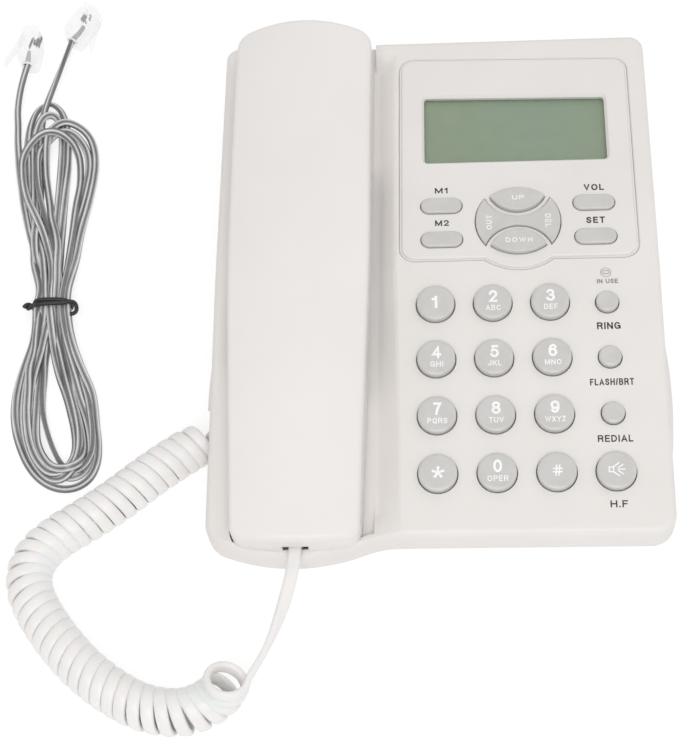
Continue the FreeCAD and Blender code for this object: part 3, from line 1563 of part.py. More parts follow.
# ---------------------------------------------------------------- line cord: hank, tie, leads, plugs
HANK = [
    (-147.0, 99.6),
    (-137.0, 91.5),
    (-126.9, 74.0),
    (-125.3, 52.0),
    (-126.2, 28.0),
    (-128.4, 7.0),
    (-123.6, -10.0),
    (-117.0, -30.0),
    (-113.2, -50.0),
    (-117.8, -65.6),
    (-126.4, -69.6),
    (-138.2, -60.0),
    (-147.0, -38.0),
    (-146.8, -15.0),
    (-143.4, 7.0),
    (-147.6, 30.0),
    (-153.8, 52.0),
    (-157.2, 70.5),
    (-156.0, 86.0),
    (-152.6, 96.6),
]
curve = Part.BSplineCurve()
curve.interpolate([V(x, y, 0) for x, y in HANK], PeriodicFlag=True)
hank_raw = doc.addObject("Part::Feature", nm("Hank"))
hank_raw.Shape = Part.Face(Part.Wire([curve.toShape()])).extrude(V(0, 0, val["hank_t"]))
TIE = (-136.0, 7.0)
tie_out = box(None, TIE[0] - 9.2, TIE[1] - 2.2, 0, 18.4, 4.4, D("hank_t") + 0.8)
tie_in = box(None, TIE[0] - 8.4, TIE[1] - 3.2, 0.6, 16.8, 6.4, D("hank_t") - 0.5)
tie = cut("twist_tie", tie_out, tie_in)
hank = cut("line_cord_hank", hank_raw, tie)

lp_a = plug("line_plug_a", val["plug_w"], 7.2, 15.4, 3.2, 5.6)
lp_b = plug("line_plug_b", val["plug_w"], 7.2, 15.4, 3.2, 5.6)
nodes_plug += [lp_a, lp_b]
# both plugs lie on one side, noses to the rear, latches outwards
half_w = D("plug_w") / 2


def lying(o, x, y, heading, roll):
    rot = Rot(V(0, 0, 1), 180 + heading).multiply(Rot(V(0, 1, 0), roll))
    place(o, x, y, half_w + 0.02, rot)
    tail = rot.multVec(V(0, 15.4, 3.6))
    return (x + tail.x, y + tail.y, val["plug_w"] / 2 + tail.z)


end_a = lying(lp_a, -158.6, 130.8, -5.0, -90.0)
end_b = lying(lp_b, -129.8, 138.5, -27.0, 90.0)
print("line plug tails", [round(c, 2) for c in end_a], [round(c, 2) for c in end_b])
LEAD_A = [
    end_a,
    (-157.3, 108.2, 3.6),
    (-158.3, 100.8, 2.3),
    (-158.9, 92.8, 1.7),
    (-158.6, 84.6, 1.7),
    (-157.0, 77.2, 2.0),
]
LEAD_B = [
    end_b,
    (-142.4, 119.6, 3.6),
    (-144.5, 112.2, 2.6),
    (-146.2, 104.9, 2.4),
    (-147.6, 98.4, 2.8),
]
lead_a = tube("line_cord_lead_a", LEAD_A, LD)
lead_b = tube("line_cord_lead_b", LEAD_B, LD)

# ---------------------------------------------------------------- check and write
doc.recompute()
nodes += [base_upper, base_lower, feet, screw_group, back, inner_shell, hs_screws]
nodes += nodes_plug
nodes += [coil, tail, btail, hank, tie, lead_a, lead_b]
bad = [o.Name + " " + o.Label for o in doc.Objects if "Invalid" in o.State or "Error" in o.State]
if bad:
    raise RuntimeError("not computed: " + ", ".join(bad))
seen = set()
low = 1e9
for o in nodes:
    sh = o.Shape
    if o.Label in seen:
        raise RuntimeError("label used twice: " + o.Label)
    seen.add(o.Label)
    if sh.isNull() or not sh.isValid():
        raise RuntimeError("bad shape: " + o.Label)
    bb = sh.BoundBox
    low = min(low, bb.ZMin)
    print(
        "%-22s solids %d vol %9.1f  x %7.2f %7.2f  y %7.2f %7.2f  z %7.2f %7.2f"
        % (o.Label, len(sh.Solids), sh.Volume, bb.XMin, bb.XMax, bb.YMin, bb.YMax, bb.ZMin, bb.ZMax)
    )
    sh.exportStep("parts/%s.step" % o.Label)
print(len(nodes), "nodes, lowest point %.3f" % low)
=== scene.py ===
import json
import math
import random

import bmesh
import bpy
import numpy as np
from mathutils import Matrix, Vector
from mathutils.bvhtree import BVHTree

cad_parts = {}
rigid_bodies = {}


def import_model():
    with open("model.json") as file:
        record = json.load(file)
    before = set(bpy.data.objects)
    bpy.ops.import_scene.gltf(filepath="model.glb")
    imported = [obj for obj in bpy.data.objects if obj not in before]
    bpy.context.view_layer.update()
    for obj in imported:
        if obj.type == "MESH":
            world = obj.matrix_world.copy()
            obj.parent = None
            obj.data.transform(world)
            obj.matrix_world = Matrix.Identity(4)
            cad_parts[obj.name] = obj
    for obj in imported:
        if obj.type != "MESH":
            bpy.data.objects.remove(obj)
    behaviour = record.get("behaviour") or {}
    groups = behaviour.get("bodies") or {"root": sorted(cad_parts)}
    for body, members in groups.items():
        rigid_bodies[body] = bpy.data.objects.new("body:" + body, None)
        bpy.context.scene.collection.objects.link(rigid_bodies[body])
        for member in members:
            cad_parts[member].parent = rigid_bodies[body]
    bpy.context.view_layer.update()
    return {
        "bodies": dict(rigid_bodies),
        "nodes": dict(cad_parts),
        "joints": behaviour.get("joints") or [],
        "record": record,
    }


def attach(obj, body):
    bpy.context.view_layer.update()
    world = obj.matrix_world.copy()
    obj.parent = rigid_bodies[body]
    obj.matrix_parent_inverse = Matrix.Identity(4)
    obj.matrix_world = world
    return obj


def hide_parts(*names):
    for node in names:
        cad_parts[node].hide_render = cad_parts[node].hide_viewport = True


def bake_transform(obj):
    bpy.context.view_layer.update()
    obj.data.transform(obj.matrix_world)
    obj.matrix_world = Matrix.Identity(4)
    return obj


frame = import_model()
NODES = frame["nodes"]
MM = 0.001
scene = bpy.context.scene
random.seed(11)


def mm(points):
    return [Vector(p) * MM for p in points]


# ------------------------------------------------------------------ camera, at the photograph's viewing angle
RIGHT = Vector((0.99759078, 0.01747327, -0.06713654))
DOWN = Vector((-0.0184602, -0.86600565, -0.49969335))
AHEAD = Vector((-0.0668719, 0.49972883, -0.86359669))
EYE = Vector((7.33635, -327.08449, 530.50959)) * MM
cam_data = bpy.data.cameras.new("camera")
cam_data.sensor_fit = "AUTO"
cam_data.sensor_width = 36.0
cam_data.lens = 36.0 * 1780.99 / 739.0
cam_data.clip_start, cam_data.clip_end = 0.01, 20.0
camera = bpy.data.objects.new("camera", cam_data)
scene.collection.objects.link(camera)
turn = Matrix((RIGHT, -DOWN, -AHEAD)).transposed().to_4x4()
camera.matrix_world = Matrix.Translation(EYE) @ turn
scene.camera = camera


# ------------------------------------------------------------------ materials
def links(mat):
    return mat.node_tree.nodes, mat.node_tree.links


def noise_node(mat, coords, scale, detail=2.0, rough=0.5, stretch=None):
    n, l = links(mat)
    src = coords
    if stretch:
        mp = n.new("ShaderNodeMapping")
        mp.inputs["Scale"].default_value = stretch
        l.new(coords, mp.inputs["Vector"])
        src = mp.outputs["Vector"]
    t = n.new("ShaderNodeTexNoise")
    t.inputs["Scale"].default_value = scale
    t.inputs["Detail"].default_value = detail
    t.inputs["Roughness"].default_value = rough
    l.new(src, t.inputs["Vector"])
    return t


def ramp_node(mat, fac, stops):
    n, l = links(mat)
    r = n.new("ShaderNodeValToRGB")
    els = r.color_ramp.elements
    while len(els) < len(stops):
        els.new(0.5)
    for e, (at, col) in zip(els, stops):
        e.position = at
        e.color = (*col, 1.0)
    l.new(fac, r.inputs["Fac"])
    return r


def range_node(mat, value, lo, hi, src_lo=0.3, src_hi=0.7):
    n, l = links(mat)
    m = n.new("ShaderNodeMapRange")
    m.inputs["From Min"].default_value = src_lo
    m.inputs["From Max"].default_value = src_hi
    m.inputs["To Min"].default_value = lo
    m.inputs["To Max"].default_value = hi
    l.new(value, m.inputs["Value"])
    return m


def bump_node(mat, height, strength, distance, under=None):
    n, l = links(mat)
    b = n.new("ShaderNodeBump")
    b.inputs["Strength"].default_value = strength
    b.inputs["Distance"].default_value = distance
    l.new(height, b.inputs["Height"])
    if under is not None:
        l.new(under, b.inputs["Normal"])
    return b


def moulded(
    name,
    dark,
    light,
    rough=(0.38, 0.5),
    patch=38.0,
    grain=2600.0,
    grain_mm=0.012,
    wave_mm=0.0,
    specular=0.5,
    metallic=0.0,
    coat=0.0,
    subsurface=0.0,
    stretch=None,
    crevice_shade_reach=0.0,
):
    """Moulded plastic, rubber or metal: slow colour drift, uneven gloss, fine surface grain, slight waviness, and where
    asked painted shade in narrow gaps.
    """
    m = bpy.data.materials.new(name)
    m.use_nodes = True
    n, l = links(m)
    n.clear()
    out = n.new("ShaderNodeOutputMaterial")
    b = n.new("ShaderNodeBsdfPrincipled")
    b.inputs["Specular IOR Level"].default_value = specular
    b.inputs["Metallic"].default_value = metallic
    b.inputs["Coat Weight"].default_value = coat
    b.inputs["Coat Roughness"].default_value = 0.12
    if subsurface:
        b.inputs["Subsurface Weight"].default_value = subsurface
        b.inputs["Subsurface Scale"].default_value = 0.0015
    l.new(b.outputs["BSDF"], out.inputs["Surface"])
    co = n.new("ShaderNodeTexCoord").outputs["Object"]
    drift = noise_node(m, co, patch, 4.0, 0.6, stretch)
    tone = ramp_node(m, drift.outputs["Fac"], [(0.3, dark), (0.7, light)])
    l.new(tone.outputs["Color"], b.inputs["Base Color"])
    if crevice_shade_reach:
        # painted shade: an ambient-occlusion mask darkens the colour towards a dull grey in the narrow gaps round keys,
        # rims and seams
        ao = n.new("ShaderNodeAmbientOcclusion")
        ao.samples = 6
        ao.inputs["Distance"].default_value = crevice_shade_reach
        open_part = range_node(m, ao.outputs["AO"], 0.0, 1.0, 0.25, 0.72)
        painted_crevice_shade = n.new("ShaderNodeMix")
        painted_crevice_shade.data_type = "RGBA"
        painted_crevice_shade.inputs[6].default_value = (0.34, 0.325, 0.31, 1)
        l.new(open_part.outputs["Result"], painted_crevice_shade.inputs[0])
        l.new(tone.outputs["Color"], painted_crevice_shade.inputs[7])
        l.new(painted_crevice_shade.outputs[2], b.inputs["Base Color"])
    gloss = noise_node(m, co, patch * 7.0, 3.0, 0.6, stretch)
    l.new(range_node(m, gloss.outputs["Fac"], rough[0], rough[1]).outputs["Result"], b.inputs["Roughness"])
    fine = noise_node(m, co, grain, 2.0, 0.5, stretch)
    normal = bump_node(m, fine.outputs["Fac"], 0.6, grain_mm * MM)
    if wave_mm:
        slow = noise_node(m, co, 22.0, 1.0, 0.4)
        normal = bump_node(m, slow.outputs["Fac"], 0.6, wave_mm * MM, normal.outputs["Normal"])
    l.new(normal.outputs["Normal"], b.inputs["Normal"])
    return m


MAT = {}
# the case white is set a little darker than the handset white: painted shade, for the base taking less light than the
# handset lying on it
MAT["case"] = moulded("case_white", (0.745, 0.717, 0.694), (0.78, 0.753, 0.731), (0.42, 0.55), 26.0, 2400.0, 0.014, 0.05, crevice_shade_reach=0.0006)
MAT["bezel"] = moulded("bezel_white", (0.742, 0.712, 0.695), (0.772, 0.744, 0.728), (0.34, 0.46), 30.0, 3000.0, 0.008, 0.03)
MAT["handset"] = moulded("handset_white", (0.775, 0.745, 0.728), (0.805, 0.776, 0.760), (0.36, 0.5), 18.0, 2600.0, 0.010, 0.06)
MAT["key"] = moulded("key_grey", (0.55, 0.54, 0.525), (0.6, 0.59, 0.573), (0.3, 0.42), 160.0, 3600.0, 0.006)
MAT["print_dark"] = moulded("print_dark", (0.03, 0.03, 0.032), (0.055, 0.053, 0.053), (0.5, 0.65), 600.0, 5200.0, 0.004)
MAT["print_grey"] = moulded("print_grey", (0.16, 0.155, 0.15), (0.2, 0.195, 0.19), (0.5, 0.65), 600.0, 5200.0, 0.004)
MAT["print_pale"] = moulded("print_pale", (0.33, 0.32, 0.31), (0.4, 0.39, 0.38), (0.5, 0.65), 600.0, 5200.0, 0.004)
MAT["print_white"] = moulded("print_white", (0.86, 0.87, 0.88), (0.93, 0.935, 0.94), (0.4, 0.55), 600.0, 5200.0, 0.004)
MAT["cord_white"] = moulded("cord_white", (0.80, 0.785, 0.775), (0.84, 0.825, 0.815), (0.34, 0.48), 90.0, 2200.0, 0.010, 0.0, subsurface=0.15)
MAT["cord_grey"] = moulded("cord_grey", (0.34, 0.34, 0.342), (0.46, 0.46, 0.462), (0.2, 0.34), 55.0, 1800.0, 0.012)
# lighter and darker copies of the cord grey, used on the line cord as painted highlight and painted shade
MAT["cord_light"] = moulded("cord_grey_painted_highlight", (0.64, 0.64, 0.642), (0.8, 0.8, 0.802), (0.18, 0.3), 55.0, 1800.0, 0.012)
MAT["cord_dark"] = moulded("cord_grey_painted_shade", (0.12, 0.12, 0.121), (0.2, 0.2, 0.202), (0.24, 0.38), 55.0, 1800.0, 0.012)
MAT["rubber"] = moulded("foot_rubber", (0.028, 0.028, 0.03), (0.05, 0.05, 0.052), (0.75, 0.9), 120.0, 1500.0, 0.05)
MAT["black"] = moulded("black_plastic", (0.02, 0.02, 0.022), (0.035, 0.035, 0.037), (0.35, 0.55), 80.0, 1900.0, 0.02)
MAT["socket"] = moulded("socket_grey", (0.62, 0.605, 0.59), (0.68, 0.665, 0.65), (0.4, 0.55), 80.0, 1900.0, 0.02)
MAT["steel"] = moulded("screw_steel", (0.5, 0.49, 0.47), (0.62, 0.61, 0.6), (0.22, 0.4), 400.0, 1800.0, 0.01, 0.0, 0.5, 1.0)
MAT["iron"] = moulded("weight_iron", (0.2, 0.19, 0.18), (0.3, 0.29, 0.28), (0.45, 0.7), 200.0, 1500.0, 0.03, 0.0, 0.5, 1.0)
MAT["tie"] = moulded("tie_black", (0.012, 0.012, 0.012), (0.03, 0.03, 0.03), (0.35, 0.6), 500.0, 2500.0, 0.02)
MAT["silicone"] = moulded("silicone_sheet", (0.36, 0.37, 0.38), (0.42, 0.43, 0.44), (0.6, 0.75), 120.0, 1500.0, 0.03)
MAT["contact"] = moulded("contact_metal", (0.13, 0.13, 0.13), (0.2, 0.2, 0.2), (0.3, 0.45), 900.0, 5200.0, 0.004, 0.0, 0.5, 0.3)
MAT["lamp"] = moulded("lamp_lens", (0.70, 0.675, 0.66), (0.74, 0.715, 0.70), (0.25, 0.35), 300.0, 3000.0, 0.004, subsurface=0.2)


def board_material():
    m = moulded("circuit_board", (0.012, 0.085, 0.035), (0.02, 0.12, 0.05), (0.25, 0.4), 180.0, 1200.0, 0.02, coat=0.4)
    n, l = links(m)
    b = n["Principled BSDF"]
    co = next(x for x in n if x.type == "TEX_COORD").outputs["Object"]
    v = n.new("ShaderNodeTexVoronoi")
    v.distance = "MANHATTAN"
    v.feature = "F1"
    v.inputs["Scale"].default_value = 260.0
    l.new(co, v.inputs["Vector"])
    old = b.inputs["Base Color"].links[0].from_socket
    mix = n.new("ShaderNodeMix")
    mix.data_type = "RGBA"
    mix.inputs[7].default_value = (0.04, 0.2, 0.08, 1)
    step = range_node(m, v.outputs["Distance"], 1.0, 0.0, 0.16, 0.2)
    l.new(step.outputs["Result"], mix.inputs[0])
    l.new(old, mix.inputs[6])
    l.new(mix.outputs[2], b.inputs["Base Color"])
    return m


def lcd_material():
    """Reflective display: grey-green, a little uneven in soft bands from side to side."""
    m = moulded("lcd_green", (0.236, 0.304, 0.196), (0.258, 0.322, 0.214), (0.32, 0.4), 46.0, 1500.0, 0.004)
    n, l = links(m)
    b = n["Principled BSDF"]
    co = next(x for x in n if x.type == "TEX_COORD").outputs["Object"]
    old = b.inputs["Base Color"].links[0].from_socket
    w = n.new("ShaderNodeTexWave")
    w.wave_type = "BANDS"
    w.bands_direction = "X"
    w.inputs["Scale"].default_value = 5.0
    w.inputs["Distortion"].default_value = 2.5
    w.inputs["Detail"].default_value = 1.0
    l.new(co, w.inputs["Vector"])
    mix = n.new("ShaderNodeMix")
    mix.data_type = "RGBA"
    mix.inputs[7].default_value = (0.246, 0.318, 0.236, 1)
    amount = range_node(m, w.outputs["Fac"], 0.0, 0.8, 0.0, 1.0)
    l.new(amount.outputs["Result"], mix.inputs[0])
    l.new(old, mix.inputs[6])
    l.new(mix.outputs[2], b.inputs["Base Color"])
    return m


def clear_material(name, tint, rough, share, through=(1.0, 1.0, 1.0)):
    """Thin clear plastic: mostly see-through, with a share of milky, glossy surface."""
    m = bpy.data.materials.new(name)
    m.use_nodes = True
    n, l = links(m)
    n.clear()
    out = n.new("ShaderNodeOutputMaterial")
    b = n.new("ShaderNodeBsdfPrincipled")
    t = n.new("ShaderNodeBsdfTransparent")
    t.inputs["Color"].default_value = (*through, 1)
    mix = n.new("ShaderNodeMixShader")
    l.new(t.outputs["BSDF"], mix.inputs[1])
    l.new(b.outputs["BSDF"], mix.inputs[2])
    l.new(mix.outputs["Shader"], out.inputs["Surface"])
    co = n.new("ShaderNodeTexCoord").outputs["Object"]
    cloud = noise_node(m, co, 240.0, 3.0)
    dark = tuple(c * 0.96 for c in tint)
    l.new(ramp_node(m, cloud.outputs["Fac"], [(0.3, dark), (0.7, tint)]).outputs["Color"], b.inputs["Base Color"])
    l.new(range_node(m, cloud.outputs["Fac"], rough, rough + 0.06).outputs["Result"], b.inputs["Roughness"])
    l.new(range_node(m, cloud.outputs["Fac"], share * 0.8, share * 1.2).outputs["Result"], mix.inputs["Fac"])
    fine = noise_node(m, co, 900.0, 2.0)
    l.new(bump_node(m, fine.outputs["Fac"], 0.3, 0.00001).outputs["Normal"], b.inputs["Normal"])
    return m


MAT["board"] = board_material()
MAT["lcd"] = lcd_material()
MAT["window"] = clear_material("display_glass", (0.8, 0.82, 0.8), 0.06, 0.06, (0.95, 0.965, 0.95))
MAT["clear"] = clear_material("clear_plug", (0.88, 0.88, 0.885), 0.12, 0.2)
MAT["frost"] = clear_material("clear_rim", (0.95, 0.95, 0.955), 0.2, 0.85)

NODE_MAT = {
    "base_upper_shell": "case",
    "base_lower_shell": "case",
    "display_bezel": "bezel",
    "lcd_window": "window",
    "lcd_module": "lcd",
    "display_board": "board",
    "keypad_membrane": "silicone",
    "keypad_board": "board",
    "main_board": "board",
    "in_use_lens": "lamp",
    "hook_plunger": "handset",
    "hook_switch": "black",
    "loudspeaker": "black",
    "base_microphone": "black",
    "line_jack": "black",
    "base_cord_jack": "black",
    "rubber_feet": "rubber",
    "base_screws": "steel",
    "handset_screws": "steel",
    "base_plug": "clear",
    "handset_plug": "clear",
    "line_plug_a": "clear",
    "line_plug_b": "clear",
    "handset_cord_tail": "cord_white",
    "handset_cord_coil": "cord_white",
    "base_cord_tail": "cord_white",
    "line_cord_hank": "cord_grey",
    "line_cord_lead_a": "cord_grey",
    "line_cord_lead_b": "cord_grey",
    "twist_tie": "tie",
    "handset_back_shell": "handset",
    "handset_inner_shell": "handset",
    "earpiece_receiver": "black",
    "handset_microphone": "black",
    "handset_weight": "iron",
    "handset_jack": "socket",
}
for name, obj in NODES.items():
    mat = MAT[NODE_MAT.get(name, "key" if name.startswith("key_") else "case")]
    obj.data.materials.clear()
    obj.data.materials.append(mat)


# ------------------------------------------------------------------ helpers for pieces
def link(name, mesh, mat, body=None):
    o = bpy.data.objects.new(name, mesh)
    mesh.name = name
    scene.collection.objects.link(o)
    if mat is not None:
        mesh.materials.clear()
        mesh.materials.append(MAT[mat])
    if body:
        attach(o, body)
    return o


def route(points, fineness):
    """The points of the smooth line that Blender's NURBS draws through the control points."""
    curve = bpy.data.curves.new("route", "CURVE")
    curve.dimensions = "3D"
    curve.resolution_u = fineness
    s = curve.splines.new("NURBS")
    s.points.add(len(points) - 1)
    for p, c in zip(s.points, points):
        p.co = (c[0], c[1], c[2], 1.0)
    s.order_u = 3
    s.use_endpoint_u = True
    holder = bpy.data.objects.new("route", curve)
    mesh = bpy.data.meshes.new_from_object(holder)
    line = np.array([v.co for v in mesh.vertices], float)
    bpy.data.meshes.remove(mesh)
    bpy.data.objects.remove(holder)
    bpy.data.curves.remove(curve)
    return line


def arc_lengths(line):
    return np.concatenate([[0.0], np.cumsum(np.linalg.norm(np.diff(line, axis=0), axis=1))])


def along(line, at):
    s = arc_lengths(line)
    return np.stack([np.interp(at, s, line[:, k]) for k in range(3)], axis=1)


def tangents(line):
    t = np.gradient(line, axis=0)
    return t / np.maximum(np.linalg.norm(t, axis=1), 1e-12)[:, None]


def oval(half_w, half_t, count, power=2.6):
    """Section of a flat cord, wide along its first axis: a squared-off oval."""
    pts = []
    for i in range(count):
        a = 2 * math.pi * (i + 0.5) / count
        c, s = math.cos(a), math.sin(a)
        pts.append(
            (
                half_w * math.copysign(abs(c) ** (2 / power), c),
                half_t * math.copysign(abs(s) ** (2 / power), s),
            )
        )
    return pts


def sweep(line, flat_normals, section, cap=True):
    """Mesh of a section carried along a line; flat_normals is the direction of the section's thin side."""
    t = tangents(line)
    n = flat_normals - (flat_normals * t).sum(1)[:, None] * t
    n /= np.maximum(np.linalg.norm(n, axis=1), 1e-12)[:, None]
    w = np.cross(t, n)
    verts, faces = [], []
    k = len(section)
    for i in range(len(line)):
        for a, b in section:
            verts.append(line[i] + a * w[i] + b * n[i])
    for i in range(len(line) - 1):
        for j in range(k):
            j2 = (j + 1) % k
            faces.append((i * k + j, i * k + j2, (i + 1) * k + j2, (i + 1) * k + j))
    if cap:
        faces.append(tuple(range(k))[::-1])
        faces.append(tuple((len(line) - 1) * k + j for j in range(k)))
    mesh = bpy.data.meshes.new("sweep")
    mesh.from_pydata([tuple(v) for v in verts], [], faces)
    bm = bmesh.new()
    bm.from_mesh(mesh)
    bmesh.ops.recalc_face_normals(bm, faces=bm.faces)
    bm.to_mesh(mesh)
    bm.free()
    for p in mesh.polygons:
        p.use_smooth = len(p.vertices) == 4
    return mesh


# ------------------------------------------------------------------ the white curly cord of the handset
TAIL = mm(
    [
        (-45.3, -93.516, 18.133),
        (-45.6, -98.6, 17.9),
        (-46.4, -104.6, 17.6),
        (-47.9, -111.4, 16.9),
        (-50.3, -119.2, 15.9),
        (-53.3, -127.0, 15.1),
        (-56.7, -133.8, 15.0),
    ]
)
COIL = mm(
    [
        (-64.8, -137.6, 17.4),
        (-65.9, -138.6, 12.4),
        (-69.0, -141.0, 8.9),
        (-74.5, -144.0, 7.6),
        (-81.2, -145.8, 7.55),
        (-92.0, -144.2, 7.55),
        (-102.2, -138.7, 7.55),
        (-112.2, -131.2, 7.55),
        (-121.0, -121.7, 7.55),
        (-128.2, -111.8, 7.55),
        (-132.8, -102.0, 7.55),
        (-131.4, -92.6, 7.55),
        (-124.6, -85.6, 7.55),
        (-115.2, -79.6, 7.55),
        (-106.2, -73.0, 7.55),
        (-97.0, -64.9, 7.55),
        (-90.4, -59.7, 7.55),
        (-84.6, -55.4, 7.55),
        (-77.9, -51.2, 7.85),
    ]
)
BASE_TAIL = mm(
    [
        (-77.9, -51.2, 7.85),
        (-74.9, -48.9, 8.5),
        (-71.2, -46.5, 9.1),
        (-66.8, -45.5, 9.6),
        (-62.2, -45.5, 9.75),
    ]
)
BAND_W, BAND_T, PITCH = 4.15 * MM, 2.3 * MM, 4.3 * MM
COIL_R = 7.45 * MM - BAND_T / 2
LEAN = 1.1 * MM


def curly_cord():
    axis = route(COIL, 24)
    long = arc_lengths(axis)[-1]
    turns = round(long / PITCH)
    per = 26
    count = turns * per + 1
    s = np.linspace(0, long, count)
    mid = along(axis, s)
    t = tangents(mid)
    up = np.tile([0.0, 0.0, 1.0], (count, 1))
    side = np.cross(up, t)
    side /= np.linalg.norm(side, axis=1)[:, None]
    over = np.cross(t, side)
    phase = 2 * math.pi * np.arange(count) / per + math.radians(-90)
    # real coils aren't perfect: the turns lean and swell a little, slowly
    lean = LEAN + 0.25 * MM * np.sin(s / (23 * MM)) + 0.2 * MM * np.sin(s / (8.7 * MM) + 1.0)
    swell = 1 + 0.008 * np.sin(s / (11 * MM) + 0.6)
    swell -= 0.015 * np.clip(1 - s / (2.2 * PITCH), 0, 1)
    swell -= 0.2 * np.clip(1 - (long - s) / (1.4 * PITCH), 0, 1) ** 1.5
    fade = np.clip(s / (3 * PITCH), 0, 1) * np.clip((long - s) / (2 * PITCH), 0, 1)
    radial = np.cos(phase)[:, None] * side + np.sin(phase)[:, None] * over
    coil = mid + radial * (COIL_R * swell)[:, None] + t * (-lean * fade * np.cos(phase))[:, None]
    tail = route(TAIL, 12)
    base_tail = route(BASE_TAIL, 10)
    line = np.concatenate([tail[:-3], coil[3:-2], base_tail[4:]])
    # the straight tails lie flat at their plugs and twist slowly into the first turn
    first, last = radial[3], radial[-3]
    a = np.linspace(0, 1, len(tail) - 3)[:, None] ** 1.6
    b = np.linspace(0, 1, len(base_tail) - 4)[:, None]
    flat = np.array([0.0, 0.0, 1.0])
    normals = np.concatenate([flat * (1 - a) + first * a, radial[3:-2], last * (1 - b) + flat * b])
    mesh = sweep(line, normals, oval(BAND_W / 2, BAND_T / 2, 14, 3.0))
    o = bpy.data.objects.new("curly_cord", mesh)
    mesh.name = "curly_cord"
    scene.collection.objects.link(o)
    mesh.materials.append(MAT["cord_white"])
    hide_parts("handset_cord_tail", "handset_cord_coil", "base_cord_tail")
    return o, line


